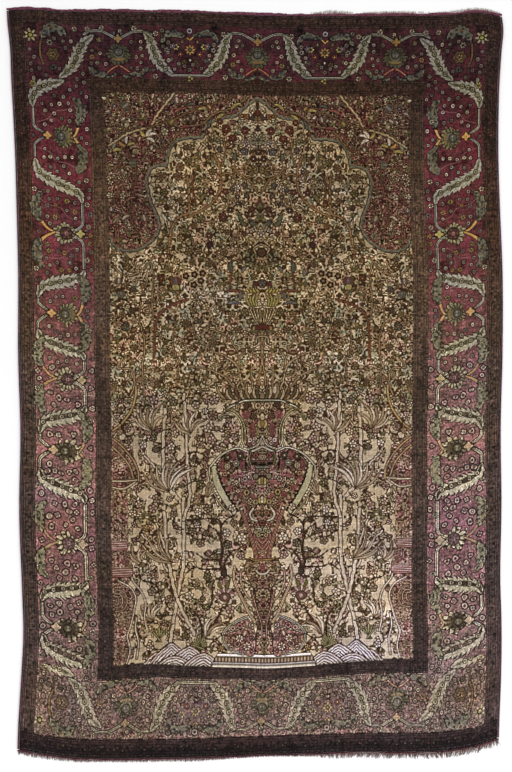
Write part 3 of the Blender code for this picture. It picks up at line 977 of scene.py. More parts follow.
# palms of long narrow leaves
for u, v, first, last, count, reach in [(-246, 524, 1.62, 2.75, 6, 104), (-254, 716, 0.7, 2.5, 8, 112),
                                        (-196, 872, 0.8, 2.4, 7, 74), (-150, 700, 0.3, 1.2, 4, 60),
                                        (-330, 520, 1.2, 2.3, 4, 60), (-300, 880, 0.9, 2.5, 7, 86),
                                        (-160, 318, 0.4, 1.3, 4, 80), (-304, 360, 1.0, 2.3, 5, 60)]:
    for k in range(count):
        heading = first + (last - first) * k / (count - 1)
        pod(u, v, reach * garden.uniform(0.7, 1.0), heading + garden.uniform(-0.08, 0.08),
            garden.uniform(4.5, 7.5), garden.choice([0xD4BC96, 0xBCA07C, 0x967C62, 0xAA9270]))
# grasses
for u, v, count in [(-175, 284, 9), (-286, 300, 5), (6, 268, 6)]:
    for k in range(count):
        a = math.pi / 2 + (k - (count - 1) / 2) * 0.26
        reach = 40 - 5 * abs(k - (count - 1) / 2)
        tip = (u + math.cos(a) * reach, v + math.sin(a) * reach)
        stroke(through([(u + (k - count / 2) * 3, v), tip], 3), 3.4, 0x969862, edge=TWIG, rim=1.4, guard=2)

# --- hills and the plinth
HILLS = [
    [(-322, 244), (-304, 262), (-284, 271), (-262, 256), (-244, 244)],
    [(-308, 244), (-284, 272), (-254, 298), (-228, 282), (-192, 258), (-166, 244)],
    [(-266, 244), (-236, 270), (-204, 291), (-178, 278), (-148, 258), (-124, 244)],
    [(-288, 240), (-262, 256), (-236, 262), (-208, 252), (-184, 240)],
    [(-218, 240), (-192, 262), (-164, 274), (-142, 264), (-116, 242)],
]
for ridge in HILLS:
    line = through(ridge)
    where, d, side, share = near(line, 44)
    base = sample_along[where[0], None] - 238
    slope = np.where(side < 0, d, -d)
    land = np.maximum(-slope, -base)
    stripe = np.abs((slope / 6.6 + 0.12 * DAPPLES[0][where]) % 1.0 - 0.5)
    lay(where, np.maximum(-slope - 2.0, -base), TWIG)
    lay(where, land, 0xE4CCAC)
    lay(where, np.maximum(land, 3.0 * np.abs(np.sin(slope / 13)) - 0.8), 0xC89C86, 0.55)
    lay(where, np.maximum(land, (0.29 - stripe) * 6.6), TWIG, 0.95)
    keep_clear(where, land)
for low, high, start, tint in [(265, 273, -130, 0xECD8B8), (251, 264, -136, 0x543A2E),
                               (244, 250, -142, 0xA8A092), (236, 243, -142, 0xECD8B8)]:
    patch([(start, low), (6, low), (6, high), (start + 4, high)], tint, edge=SOOT, rim=1.6, smooth=False)
for k in range(16):
    where, x, y = at(-130 + 9 * k, 257.5, 8)
    lay(where, np.maximum(np.abs(x) - 2.6, np.abs(y) - 5.4), 0xA89076)
where, x, y = at(0, 256, 160)
keep_clear(where, np.maximum(np.abs(x) - 155, np.abs(y) - 18))

# --- the column at the side, and the scrolls and rocks that frame it
shaft = [(-408, 244), (-372, 246), (-364, 300), (-370, 346), (-350, 396), (-348, 436), (-366, 464),
         (-356, 480), (-350, 512), (-364, 556), (-362, 590), (-362, 720), (-330, 756), (-340, 800),
         (-380, 850), (-408, 866)]
column = within(shaft, 0)
thicket(column, tendrils(59, 7.6), VASE_DYES, pale_at=0.35)
cloth[column] += (dye(0x966C64) - cloth[column]) * 0.25
taken |= column
for radius in (12, 22, 34):
    line = through([(-404 + radius * math.cos(a), 420 + radius * 0.9 * math.sin(a) + 3 * math.sin(2.3 * a))
                    for a in (-1.5, -0.9, -0.3, 0.3, 0.9, 1.5)])
    stroke(line, 3.0, 0xB4927C, 0.8, edge=TWIG, rim=2.0)
# its scrolled edge, and the edges of the rocks beside it
for points in ([(-372, 246), (-364, 280), (-372, 320), (-362, 350), (-352, 392), (-346, 426), (-360, 456),
                (-392, 474)],
               [(-316, 322), (-324, 372), (-320, 412), (-330, 444), (-350, 470), (-358, 492)],
               [(-346, 256), (-342, 300), (-350, 340), (-346, 372)]):
    rib(3.6, 0xC6AE8C, points)
for low, high, right in [(484, 508, -350), (556, 580, -362)]:
    patch([(-408, low), (right - 8, low + 2), (right, (low + high) / 2), (right - 8, high), (-408, high)],
          0xA67068, edge=TWIG, smooth=False)
    for v in np.arange(low + 4, high, 6.0):
        stroke(through([(-406, v), (-380, v + 1.5), (right - 2, v + 3)], 3), 2.2, 0x5A3E36)
        stroke(through([(-406, v + 2.6), (-380, v + 4), (right - 4, v + 5)], 3), 1.6, 0xCAAE92)
rib(4, 0xC4AC84, [(-404, 726), (-372, 724), (-330, 752)])
rib(4, 0xC4AC84, [(-404, 744), (-374, 744), (-334, 748)])
rib(4, TAN, [(-406, 858), (-378, 836), (-350, 802), (-336, 772), (-334, 746)])
rib(4, TAN, [(-406, 836), (-384, 816), (-360, 786), (-348, 752)])
rib(5, 0xB4925C, [(-404, 880), (-380, 900), (-352, 940), (-340, 990), (-352, 1040)])

# --- the garden of the middle and the arch
RUSSET = 0x804838
BARK = 0x9E744C
# thickness, colour, the points each branch runs through
BRANCHES = [
    (4.0, RUSSET, [(-290, 1080), (-286, 1170), (-268, 1205), (-236, 1224), (-200, 1236)]),
    (2.6, TAN, [(-293, 1180), (-296, 1230), (-292, 1300), (-300, 1340)]),
    (4.4, BARK, [(-252, 1350), (-246, 1400), (-235, 1440), (-215, 1462), (-192, 1474), (-190, 1530),
                 (-196, 1580)]),
    (4.4, BARK, [(-190, 1462), (-165, 1474), (-130, 1496), (-108, 1530), (-104, 1560), (-106, 1600),
                 (-120, 1630)]),
    (2.6, RUSSET, [(-172, 1500), (-180, 1540), (-172, 1580)]),
    (2.8, BARK, [(-104, 1572), (-84, 1580), (-60, 1562)]),
    (2.8, BARK, [(-100, 1600), (-88, 1640), (-92, 1670)]),
    (3.0, BARK, [(-6, 1528), (-24, 1560), (-52, 1578), (-70, 1600)]),
    (2.6, BARK, [(-8, 1640), (-30, 1612), (-48, 1592)]),
    (3.4, RUSSET, [(-95, 1259), (-75, 1262), (-52, 1258)]),
    (2.6, TAN, [(-404, 1330), (-370, 1300), (-330, 1310), (-290, 1350)]),
    (3.0, TAN, [(-372, 1080), (-388, 1050), (-352, 1046), (-344, 1010), (-356, 970)]),
    (3.6, 0xB29872, [(-44, 985), (-56, 1012), (-62, 1044), (-78, 1068), (-100, 1080)]),
    (3.2, 0xA88E68, [(-66, 985), (-92, 1016), (-110, 1032), (-150, 1048), (-196, 1056)]),
    (3.0, TAN, [(-24, 985), (-30, 1030), (-28, 1060)]),
    (3.0, TAN, [(-10, 985), (-8, 1030), (-2, 1060), (-2, 1120), (0, 1160)]),
    (2.6, TAN, [(-60, 1050), (-70, 1100), (-100, 1140), (-150, 1160)]),
    (2.6, TAN, [(-100, 1084), (-140, 1100), (-180, 1140), (-186, 1190)]),
    (2.4, TAN, [(-60, 1362), (-62, 1400), (-58, 1440)]),
    (2.4, RUSSET, [(-88, 1268), (-84, 1300), (-82, 1350)]),
    (2.4, TAN, [(-318, 960), (-322, 1040), (-316, 1120), (-330, 1180), (-326, 1240)]),
    (2.4, TAN, [(-230, 1000), (-226, 1060), (-240, 1120), (-232, 1180)]),
]
for branch in BRANCHES:
    bough(*branch, rim=1.8)
# a bunch of dark fruit
for u, v in [(-205, 1300), (-182, 1304), (-160, 1307), (-165, 1287), (-184, 1276)]:
    where, x, y = at(u, v, 14)
    d = np.hypot(x, y)
    swell = 9.4 + 1.2 * np.cos(5 * np.arctan2(y, x))
    lay(where, d - swell - 2.6, 0xBE9E70)
    lay(where, d - swell, SOOT)
    lay(where, d - 5.4, 0x543C2C)
    lay(where, d - 2.4, 0xAA8C68)
    keep_clear(where, d - 12)
tulip(-233, 1286, 15, -math.pi / 2, 0x6C362E, 0x626876)
patch([(-242, 1262), (-224, 1262), (-226, 1276), (-240, 1276)], 0xA4945E, edge=SOOT)
# across, along, length, heading, width, colour of single leaves and bars
LEAVES = [
    (-82, 1310, 34, 1.5, 12, 0x465C58), (-58, 1236, 24, 1.5, 9, TEAL), (-70, 1296, 18, 1.2, 9, 0x828C64),
    (-94, 1225, 36, 0.0, 8, SLATE), (-54, 1310, 22, 0.9, 8, 0x708280), (-112, 1300, 20, 1.6, 9, 0x7E7878),
    (-12, 1440, 24, 2.3, 12, 0x4C6254), (-34, 1440, 30, 2.5, 10, 0x546048),
    (-46, 1452, 26, 2.0, 9, 0x546048), (-62, 1612, 26, 1.5, 9, 0x60705C),
    (-160, 1500, 30, 0.9, 10, 0x786C42), (-186, 1496, 26, 1.7, 8, BARK), (-112, 1720, 34, 0.7, 8, STRAW),
    (-132, 1700, 30, 1.2, 6, 0x606868), (-160, 1752, 34, -0.1, 8, STRAW), (-72, 1752, 34, 0.6, 8, STRAW),
    (-190, 1760, 26, 0.2, 8, 0x50645A), (-20, 1752, 22, 0.6, 6, BONE), (-210, 1700, 30, 0.1, 8, 0x964650),
    (-224, 1742, 40, 0.3, 7, 0xA05454), (-330, 1470, 26, 2.0, 8, 0xA06460),
    (-360, 1500, 30, 0.4, 6, 0xB2786E), (-380, 1540, 30, 0.2, 6, 0xB2786E), (-372, 1450, 26, 0.5, 7, BONE),
    (-340, 1540, 26, -0.3, 7, 0x965054), (-396, 1440, 24, 0.7, 7, 0xAA966E),
    (-350, 1400, 26, 0.2, 6, 0xA0645A),
]
for u, v, reach, heading, width, tint in LEAVES:
    pod(u, v, reach, heading, width, dye(tint) + (dye(0x68503C) - dye(tint)) * 0.25, edge=SOOT)
for k in range(4):
    pod(-16 - 5 * k, 1218, 32 + 5 * (k % 2), math.pi / 2 + (k - 1.2) * 0.16, 6.5, 0x9C8E4E, edge=SOOT)
for k in range(4):
    pod(-8 - 9 * k, 1256, 16, math.pi / 2 + 0.5, 5.5, 0xB0984E, edge=SOOT)
for k in range(4):
    stroke(through([(0, 1158), (-4 - 5 * k, 1180), (-6 - 9 * k, 1212)], 3), 3.0, 0xBEA270, edge=SOOT,
           rim=1.6, guard=1)
patch([(6, 1154), (-26, 1158), (-30, 1166), (6, 1170)], 0x603028, edge=SOOT, smooth=False)
patch([(-40, 1149), (-28, 1149), (-28, 1159), (-40, 1159)], 0xBAA07C, edge=SOOT, smooth=False)
stroke(through([(-16, 1120), (-14, 1134), (0, 1138)]), 4, 0xA08864, edge=SOOT)
stroke(through([(-16, 1364), (-20, 1378), (0, 1388)]), 4.5, 0xA08864, edge=SOOT)
disc(0, 1366, 14, SOOT)
disc(0, 1366, 11, 0x563C30)
clear_round(0, 1366, 18)
disc(-138, 1386, 10, 0x3A1E26)
clear_round(-138, 1386, 11)

# --- the vase: narrow petals stand in a fan behind its lip
for k in range(13):
    reach = 34 + 14 * math.cos(k * 2.4)
    tint = [0x967C5A, 0x6C4C3C, 0xB49A74, 0x60543C][k % 4]
    pod(-98 + 8.2 * k, 964, reach, 2.1 - 0.043 * k, 7.5, tint, edge=SOOT)
SMALL = tendrils(63, 9.0)
MIST = 0xBCB288
WINE_RED = 0x7A444C


def banded(points, *bands):
    """Strokes laid one on another along a line, each narrower than the last."""
    line = through(points)
    for width, colour in bands:
        stroke(line, width, colour, guard=1)


def clear_box(u, v, wide, high):
    """Keeps the loose flowers out of an upright box."""
    keep_clear((slice(int((v - high) / STEP_ALONG), int((v + high) / STEP_ALONG)),
                slice(int((u - wide + WIDTH / 2) / STEP_ACROSS), HALF)), -1)


def filled(outline, colour, strength, smooth=False, dyes=VASE_DYES):
    """A part of the vase: its dye, a dark edge, and small tendrils all over it."""
    patch(outline, colour, edge=SOOT, smooth=smooth)
    thicket(within(outline, 1.0, smooth), SMALL, dyes, pale_at=0.3, strength=strength)


filled([(6, 964), (-56, 963), (-88, 950), (-108, 931), (-84, 935), (-58, 936), (-30, 930), (6, 932)],
       0xB29872, 0.6, dyes=GARDEN_DYES)
filled([(6, 936), (-62, 938), (-60, 918), (-50, 890), (-48, 850), (-52, 836), (6, 828)], 0x705042, 0.85)
body = [(6, 838), (-30, 824), (-50, 824), (-66, 832), (-92, 824), (-114, 802), (-128, 780), (-124, 744),
        (-110, 711), (-94, 686), (-76, 664), (-66, 660), (-54, 676), (-46, 650), (-38, 622), (-26, 588),
        (-13, 545), (-9, 502), (6, 500)]
filled(body, 0x74524C, 0.85)
# plain wine-red and rose grounds show between the vase's small flowers
# across, along, half width, half height, colour
for u, v, wide, high, tint in [
    (-44, 924, 12, 12, WINE_RED), (-27, 882, 9, 20, WINE_RED), (-40, 848, 7, 12, WINE_RED),
    (-10, 906, 6, 8, WINE_RED), (-82, 812, 14, 13, WINE_RED), (-108, 786, 9, 18, WINE_RED),
    (-53, 786, 8, 14, WINE_RED), (-18, 806, 10, 6, WINE_RED), (-102, 752, 7, 17, 0x9C6060),
    (-72, 756, 13, 6, WINE_RED), (-86, 724, 9, 9, 0x965C5A), (-36, 738, 14, 8, 0x9C6060),
    (-60, 706, 9, 9, WINE_RED), (-50, 684, 7, 12, 0x965C5A), (-38, 656, 6, 14, WINE_RED),
    (-24, 700, 8, 7, 0x925858), (-12, 634, 8, 10, WINE_RED), (-20, 594, 6, 14, 0x965C5A),
    (-6, 570, 6, 24, WINE_RED), (-8, 532, 4, 14, 0x8C5054),
]:
    where, x, y = at(u, v, max(wide, high) + 5)
    lay(where, (np.hypot(x / wide, y / high) - 1) * min(wide, high) + 2.2 * DAPPLES[0][where], tint, 0.7)
side = [(-137, 783), (-134, 752), (-124, 722), (-108, 694), (-92, 670), (-78, 653), (-70, 664), (-84, 684),
        (-100, 711), (-114, 739), (-122, 766), (-126, 785)]
patch(side, MIST, edge=SOOT, rim=1.8)
banded([(6, 963), (-30, 963), (-52, 961), (-66, 954), (-86, 946), (-98, 938)], (9.0, SOOT), (3.6, MIST))
banded([(-98, 928), (-84, 930), (-66, 916), (-56, 892), (-54, 858), (-60, 838)], (5.6, SOOT),
       (3.0, 0xC4B080))
banded([(-104, 938), (-80, 936), (-58, 914), (-48, 886), (-46, 856), (-50, 838)], (5.4, SOOT),
       (2.6, 0xB8A674))
banded([(-142, 782), (-122, 806), (-96, 824), (-68, 833), (-52, 828), (-36, 822), (-18, 828), (6, 840)],
       (7.6, SOOT), (3.6, 0xC4B88E))
banded([(-124, 776), (-112, 800), (-90, 818)], (4.6, SOOT), (1.8, 0xB49678))
banded([(-144, 782), (-142, 750), (-132, 716), (-113, 682), (-84, 646)], (5.4, SOOT), (2.6, 0xB6A47C))
line = through([(-123, 784), (-119, 762), (-110, 738), (-97, 711), (-82, 687), (-66, 664)])
stroke(line + 1.8 * np.sin(np.arange(len(line)) * 2.2)[:, None], 3.4, SOOT)
banded([(-34, 822), (-32, 800), (-38, 776)], (8.6, SOOT), (5.6, 0xA08660), (2.0, SOOT))
banded([(-46, 808), (-46, 790), (-44, 772)], (3.4, SOOT))
banded([(-62, 752), (-62, 738), (-56, 722)], (6.4, SOOT), (2.6, 0xB8A684))
banded([(-56, 722), (-42, 706), (-28, 694)], (5.0, SOOT), (2.0, 0xB09468))
banded([(-56, 660), (-44, 632), (-32, 594), (-20, 552), (-12, 512)], (11.0, SOOT), (8.4, 0xB08E74),
       (5.2, 0x68383C), (1.6, 0xB08470))
banded([(-24, 668), (-33, 654), (-28, 640), (-14, 634)], (9.0, SOOT), (5.0, 0xC4B292))
banded([(0, 868), (-4, 856), (-12, 842), (-26, 834), (-40, 830)], (5.6, SOOT), (2.8, MIST))
banded([(-12, 900), (-16, 884), (-10, 868)], (4.6, SOOT), (2.2, 0xB8A46E))
for v, wide, tint in [(797, 3.0, 0x785448), (789, 2.2, SOOT), (780, 7.0, 0x707C5C)]:
    reach = -26 if v > 785 else -16
    banded([(reach, v), (6, v)], (wide + 3, SOOT), (wide, tint))
for v in (546, 560, 574, 588):
    banded([(6, v - 8), (-8, v + 6), (-18, v + 22)], (4.4, SOOT), (2.4, 0xB88A74))
# across, along, radius, petals, colour of the small flowers and rings scattered over the vase
STUDS = [(-12, 948, 8, 6, 0xBEA078), (-40, 949, 10, 6, 0x544632), (-66, 947, 6, 5, 0xA08660),
         (-24, 918, 7, 6, 0x685442), (-33, 854, 6, 5, 0xD4B496), (-20, 858, 5, 5, 0xCEAA90),
         (-24, 846, 5, 4, 0xC8A088), (-10, 932, 6, 5, 0x96785C), (-34, 938, 5, 4, 0xA08064),
         (-71, 792, 9, 8, 0x807868), (-95, 783, 8, 8, 0xB0987A), (-101, 762, 6, 8, 0xA48268),
         (-94, 808, 8, 5, 0x544232), (-60, 812, 8, 5, 0x4A4638), (-84, 772, 5, 8, 0x786250),
         (-80, 742, 6, 4, 0xD6BE9A), (-90, 738, 5, 4, 0xCEB08C), (-70, 740, 5, 4, 0xCEB08C),
         (-74, 722, 6, 5, 0x966C58), (-66, 716, 5, 4, 0xC4A080), (-47, 748, 7, 6, 0xA48C7A),
         (-42, 712, 8, 6, 0xA0865C), (-18, 756, 6, 6, 0xAA9670), (-16, 716, 6, 5, 0xAA927A),
         (-32, 690, 6, 8, 0xB89678), (-18, 686, 7, 6, 0xB09A6A), (-36, 672, 5, 4, 0x967054),
         (-50, 690, 5, 4, 0xAA8068), (-12, 656, 7, 6, 0x8C6E54), (-26, 726, 5, 4, 0xB4826E),
         (-8, 610, 6, 6, 0xC4BA92), (-17, 604, 5, 6, 0xBAAA82), (-2, 600, 6, 6, 0xB4A47C),
         (-10, 594, 5, 5, 0xAA9870), (-16, 624, 6, 5, 0xA46E64), (-1, 628, 6, 5, 0x82544A),
         (-18, 812, 6, 6, 0xA05A54), (-4, 808, 7, 6, 0xB08C6E), (-14, 770, 5, 4, 0x8C6C5A)]
for u, v, r, petals, tint in STUDS:
    blossom(u, v, r + 0.8, petals, tint, draw.choice([SOOT, 0x783C42, 0xBEA880]), edge=0x221814,
            rim=2.2, deep=0.12, core=0.46)
tulip(0, 898, 15, math.pi / 2, 0xA89462, 0x96744C, edge=SOOT)
pod(0, 908, 20, math.pi / 2, 6, 0xC4B084, edge=SOOT)
tulip(0, 742, 13, math.pi / 2, 0xB0985C, 0x8A7046, edge=SOOT)
tulip(0, 690, 12, math.pi / 2, 0xB89E60, 0xD6C098, edge=SOOT)
for box in [(0, 880, 62, 60), (0, 745, 118, 62), (0, 590, 40, 92), (0, 390, 34, 120)]:
    clear_box(*box)

# --- below the vase: its stem, scrolling leaves and the domed foot
filled([(6, 524), (-44, 524), (-50, 504), (-36, 470), (-20, 440), (-14, 380), (-20, 330), (-24, 276),
        (6, 272)], 0x7A604C, 0.75)
banded([(6, 528), (-24, 528), (-34, 534)], (5.4, SOOT), (2.2, 0xB08C54))
banded([(6, 524), (-4, 512), (-3, 498)], (5.4, 0x7E444A))
banded([(-18, 500), (-10, 491), (6, 488)], (7.0, SOOT), (4.0, 0xC4B08E))
for v, r in [(464, 9), (436, 10), (404, 11), (372, 9), (344, 8), (314, 8)]:
    blossom(-2, v, r, 6, 0x966862 if r % 2 else 0xA48C6E, TWIG, edge=SOOT)
    blossom(-21 + (r % 3) * 2, v + 12, 6, 5, 0x764C4C, 0xAA9678, edge=SOOT)
banded([(-76, 510), (-79, 480), (-67, 444), (-52, 412), (-40, 384), (-24, 360)], (10.0, TWIG),
       (6.0, 0xC4A880), (1.8, 0x8A644A))
banded([(-58, 500), (-60, 472), (-48, 440), (-32, 420), (-28, 438)], (7.0, TWIG), (3.0, 0xB89A74))
banded([(-30, 440), (-18, 392), (-8, 360), (-6, 320)], (6.0, TWIG), (2.6, 0xAA7E70))
dome = [(-44, 372), (-75, 360), (-104, 336), (-110, 312), (-100, 290), (-82, 278), (-60, 273), (-28, 273),
        (-26, 330)]
filled(dome, 0xA07070, 0.5, smooth=True)
banded([(-44, 374), (-76, 361), (-106, 337), (-112, 312), (-101, 290), (-79, 278), (-58, 273)], (9.4, SOOT),
       (6.6, 0xB8B49A), (2.6, 0x5C5248))
banded([(-98, 332), (-76, 338), (-50, 346), (-30, 344)], (6.0, SOOT), (2.8, 0xA89C82))
for u, v, r in [(-74, 300, 9), (-66, 350, 8), (-85, 343, 7), (-46, 300, 8), (-48, 328, 7), (-92, 308, 7),
                (-36, 352, 6), (-60, 316, 7), (-34, 286, 7), (-62, 284, 6), (-90, 290, 6), (-78, 322, 6),
                (-34, 316, 6)]:
    blossom(u, v, r, 8, draw.choice([0xC4A48C, 0xB07A78, 0x96786C]), 0x5A383E, edge=SOOT,
            rim=2.0, deep=0.1, core=0.5)


# --- every space between is filled with flowers, each joined by a twig to the nearest bough
def plant(spots, tries, region, radii, clearance, kinds):
    """Finds free places for flowers, never overlapping, and adds each one's place, radius and kind."""
    for _ in range(tries):
        u, v = region(garden)
        r = garden.uniform(*radii)
        if is_free(u, v, r + clearance):
            where, x, y = at(u, v, r + 3)
            taken[where] |= np.hypot(x, y) < r + clearance * 0.5
            spots.append((u, v, r, garden.choice(kinds)))


def join(spots, stems, colour, width):
    """Twigs from each flower to the nearest stem or flower already joined."""
    pending = np.array([(s[0], s[1]) for s in spots])
    gaps = np.hypot(pending[:, None, 0] - stems[None, :, 0], pending[:, None, 1] - stems[None, :, 1])
    nearest = stems[gaps.argmin(axis=1)]
    gaps = gaps.min(axis=1)
    for _ in range(len(pending)):
        k = int(gaps.argmin())
        a, b = pending[k], nearest[k]
        if gaps[k] < 60:
            mid = (a + b) / 2 + np.array([-(a - b)[1], (a - b)[0]]) * 0.22
            stroke(through([b, mid, a], 4), width, colour)
        gaps[k] = 1e9
        reach = np.hypot(pending[:, 0] - a[0], pending[:, 1] - a[1])
        closer = (reach < gaps) & (gaps < 1e8)
        gaps[closer] = reach[closer]
        nearest[closer] = a


def draw_flower(u, v, r, kind, pale, bright):
    """One of the garden's flowers or leaves."""
    turn = (u * 7 + v * 3) % 6.28
    if kind == "posy":
        posy(u, v, r, 4 if r < 9 else 5, pale, 0x36251E, turn=turn)
    elif kind == "dark":
        posy(u, v, r, 4 if r < 9 else 5, bright, 0x2E1A18, heart=pale, turn=turn)
    elif kind == "tulip":
        tulip(u, v, r, turn, bright, pale)
    elif kind == "leaves":
        for k in range(3):
            pod(u, v, r * 1.15, turn + k * 2.1, r * 0.7, [OLIVE, 0x606246, pale][k % 3])
    elif kind == "pair":
        pod(u - r * 0.4, v - r * 0.5, r * 1.6, turn, r * 0.75, 0x706848)
        pod(u + r * 0.3, v - r * 0.2, r * 1.4, turn + 1.6, r * 0.65, pale)
    else:
        where, x, y = at(u, v, r + 3)
        d = np.hypot(x, y)
        spokes = np.cos(7 * np.arctan2(y, x) + turn)
        lay(where, d - r, WINE)
        lay(where, np.maximum(d - r * 0.84, -spokes * 3), pale)
        lay(where, d - 0.36 * r, WINE)
        lay(where, d - 0.18 * r, bright)


def painted(spots, pales, brights):
    for u, v, r, kind in spots:
        draw_flower(u, v, r, kind, garden.choice(pales), garden.choice(brights))


# across, along, radius, kind, colour of the eyes or middle, colour of the petals or sides
BLOOMS = [
    (-378, 1250, 13, "tulip", TEAL, SLATE), (-385, 1284, 11, "tulip", BONE, SLATE),
    (0, 1282, 13, "dark", 0x96A096, SLATE), (-18, 1280, 9, "dark", MADDER, 0x823230),
    (-140, 1410, 11, "dark", BONE, MADDER), (-60, 1540, 12, "posy", BONE, TEAL),
    (-35, 1520, 9, "dark", BONE, TEAL), (-60, 1516, 8, "dark", BONE, TEAL),
    (-60, 1498, 8, "dark", BONE, TEAL), (-44, 1500, 7, "dark", BONE, TEAL),
    (-74, 1536, 8, "dark", BONE, TEAL), (-40, 1548, 10, "dark", BONE, TEAL),
    (0, 1496, 13, "tulip", 0x5C7054, 0x58282C), (-22, 1484, 10, "dark", 0x966E5A, 0x6E2C2C),
    (-36, 1470, 9, "dark", BONE, 0x603632), (-100, 1460, 14, "dark", 0xB4826E, 0x64302C),
    (-80, 1480, 10, "dark", BONE, 0x5A3632), (-92, 1530, 11, "dark", BONE, MADDER),
    (-130, 1528, 10, "dark", BONE, MADDER), (-160, 1454, 13, "posy", 0x6E7654, OLIVE),
    (0, 1420, 12, "posy", BONE, MADDER), (-24, 1426, 9, "posy", BONE, MADDER),
    (0, 1640, 11, "dark", BONE, 0x582E1E), (-14, 1620, 10, "dark", BONE, 0x582E1E),
    (0, 1606, 9, "dark", BONE, 0x582E1E), (-18, 1590, 15, "wheel", 0x968452, OLIVE),
    (0, 1562, 11, "tulip", STRAW, 0x784A32), (-38, 1640, 12, "dark", 0xBEBEAA, 0x687876),
    (-35, 1697, 13, "dark", 0xAA8264, 0x6E2422), (-85, 1700, 14, "dark", 0xAA8264, 0x6E2422),
    (-68, 1675, 13, "dark", 0xAA8264, 0x6E2422), (-66, 1719, 9, "dark", BONE, 0xB06E60),
    (-102, 1720, 10, "dark", BONE, 0x6E2422), (-104, 1668, 12, "posy", 0x969670, OLIVE),
    (-104, 1645, 10, "dark", BONE, SLATE), (-10, 1680, 12, "posy", 0x969670, LEAF),
    (0, 1702, 9, "dark", 0x786E96, AUBERGINE), (-14, 1733, 8, "dark", SLATE, 0x46546E),
    (0, 1730, 9, "wheel", STRAW, GOLD), (0, 1746, 10, "dark", MADDER, 0x6E2422),
    (-30, 1736, 9, "dark", GOLD, 0xB46E36), (-46, 1738, 8, "dark", STRAW, GOLD),
    (-30, 1665, 9, "posy", BONE, OLIVE), (-138, 1690, 9, "dark", BONE, MADDER),
    (-355, 1758, 16, "tulip", 0x78888C, 0x545C68), (-338, 1604, 15, "tulip", TEAL, SLATE),
    (-362, 1722, 11, "tulip", BONE, SLATE), (-330, 1635, 11, "tulip", STRAW, BONE),
    (-312, 1455, 13, "tulip", BONE, SLATE), (-385, 1610, 10, "tulip", ROSE, BONE),
    (-215, 1775, 12, "tulip", BONE, SLATE), (-262, 1776, 10, "tulip", BONE, 0x8C3C40),
    (-130, 1760, 11, "tulip", GOLD, 0x6E3438), (-172, 1730, 11, "tulip", BONE, SLATE),
    (-232, 1716, 12, "tulip", STRAW, OLIVE), (-250, 1690, 13, "posy", 0xBEB48C, OLIVE),
]
for u, v, r, kind, pale, bright in BLOOMS:
    dull = 0.45 if kind == "tulip" else 0.25
    draw_flower(u, v, r * (1 - 0.35 * dull), kind, dye(pale) + (dye(0x806850) - dye(pale)) * dull,
                dye(bright) + (dye(0x60483A) - dye(bright)) * dull)


stem_points = np.vstack(boughs)[::2]


def low_region(g):
    return g.uniform(-402, 2), g.uniform(256, 990)


spots = []
plant(spots, 700, low_region, (10, 14), 0.4, ["posy", "posy", "dark", "wheel", "posy"])
plant(spots, 1500, low_region, (7.5, 10), 0.2, ["posy", "dark", "leaves", "pair", "tulip"])
join(spots, stem_points, TWIG, 3.4)
painted(spots, [0xD4BA94, 0xC6A884, 0xB08E7A, 0x967E64],
        [0x885E5A, 0x76584C, 0x706A44, 0x786E56, 0xA48454])


def mid_region(g):
    return g.uniform(-404, 2), g.uniform(990, 1790)


def corner_region(g):
    u, v = mid_region(g)
    return (u, v) if arched(u, v) else (-900, v)


inside_arch, over_arch = [], []
everywhere = []
plant(everywhere, 420, mid_region, (9, 12), 2, ["posy", "dark", "wheel", "posy", "leaves"])
plant(everywhere, 900, mid_region, (6, 8.5), 2, ["posy", "posy", "dark", "leaves", "pair", "tulip"])
plant(everywhere, 1500, corner_region, (6, 8.5), 0.4, ["posy", "tulip", "pair", "dark"])
for spot in everywhere:
    (over_arch if arched(spot[0], spot[1]) else inside_arch).append(spot)
join(inside_arch, stem_points, 0x3E281A, 2.8)
painted(inside_arch, [0xC4A670, 0x967A50, 0x806646, 0x766C46],
        [0x68362C, 0x683E32, OLIVE, 0x586052, 0x785838, 0x60463A])
painted(over_arch, [0xD8C298, 0xC0A882, 0xBE9084, 0xA0966E],
        [0x7C3840, 0x7C424C, 0xB0A470, 0x6C7682, 0x62726C, 0xAE905C])
# the worked leaves and petals are as mottled as the ground they stand on
upper_field = (ACROSS > -FIELD) & (ALONG > 990) & (ALONG < TOP_FIELD)
thicket(upper_field & taken & ~corner, tendrils(67, 5.6), GARDEN_DYES, strength=0.14)
thicket(corner & taken, tendrils(69, 7), CORNER_DYES, strength=0.16)


# ---------------------------------------------------------------- the knots and their age
# The drawn half is mirrored and gathered into knots, which then change: the field and borders change in
# brightness by height, partly from years of light and wear and partly as painted pile sheen, the lower
# right takes a painted sheen, some places yellow or darken, and every knot takes its dye a little unevenly.

whole = np.concatenate([cloth, cloth[:, ::-1]], axis=1)
knots = whole.reshape(KNOTS_ALONG, SAMPLES, KNOTS_ACROSS, SAMPLES, 3).mean(axis=(1, 3))
knot_across = ((np.arange(KNOTS_ACROSS) + 0.5) / KNOTS_ACROSS - 0.5)[None, :, None] * WIDTH
knot_along = ((np.arange(KNOTS_ALONG) + 0.5) / KNOTS_ALONG)[:, None, None] * LENGTH


def softened(grid, times=1):
    """A grid of knots averaged with its neighbours."""
    for _ in range(times):
        padded = np.pad(grid, ((1, 1), (1, 1), (0, 0)), mode="edge")
        grid = (padded[:-2, 1:-1] + padded[2:, 1:-1] + padded[1:-1, :-2] + padded[1:-1,
                2:] + 2 * padded[1:-1, 1:-1]) / 6
    return grid


# a weaver changes colour knot by knot, so the edges of the drawing stay crisp
knots = knots + (knots - softened(knots, 2))
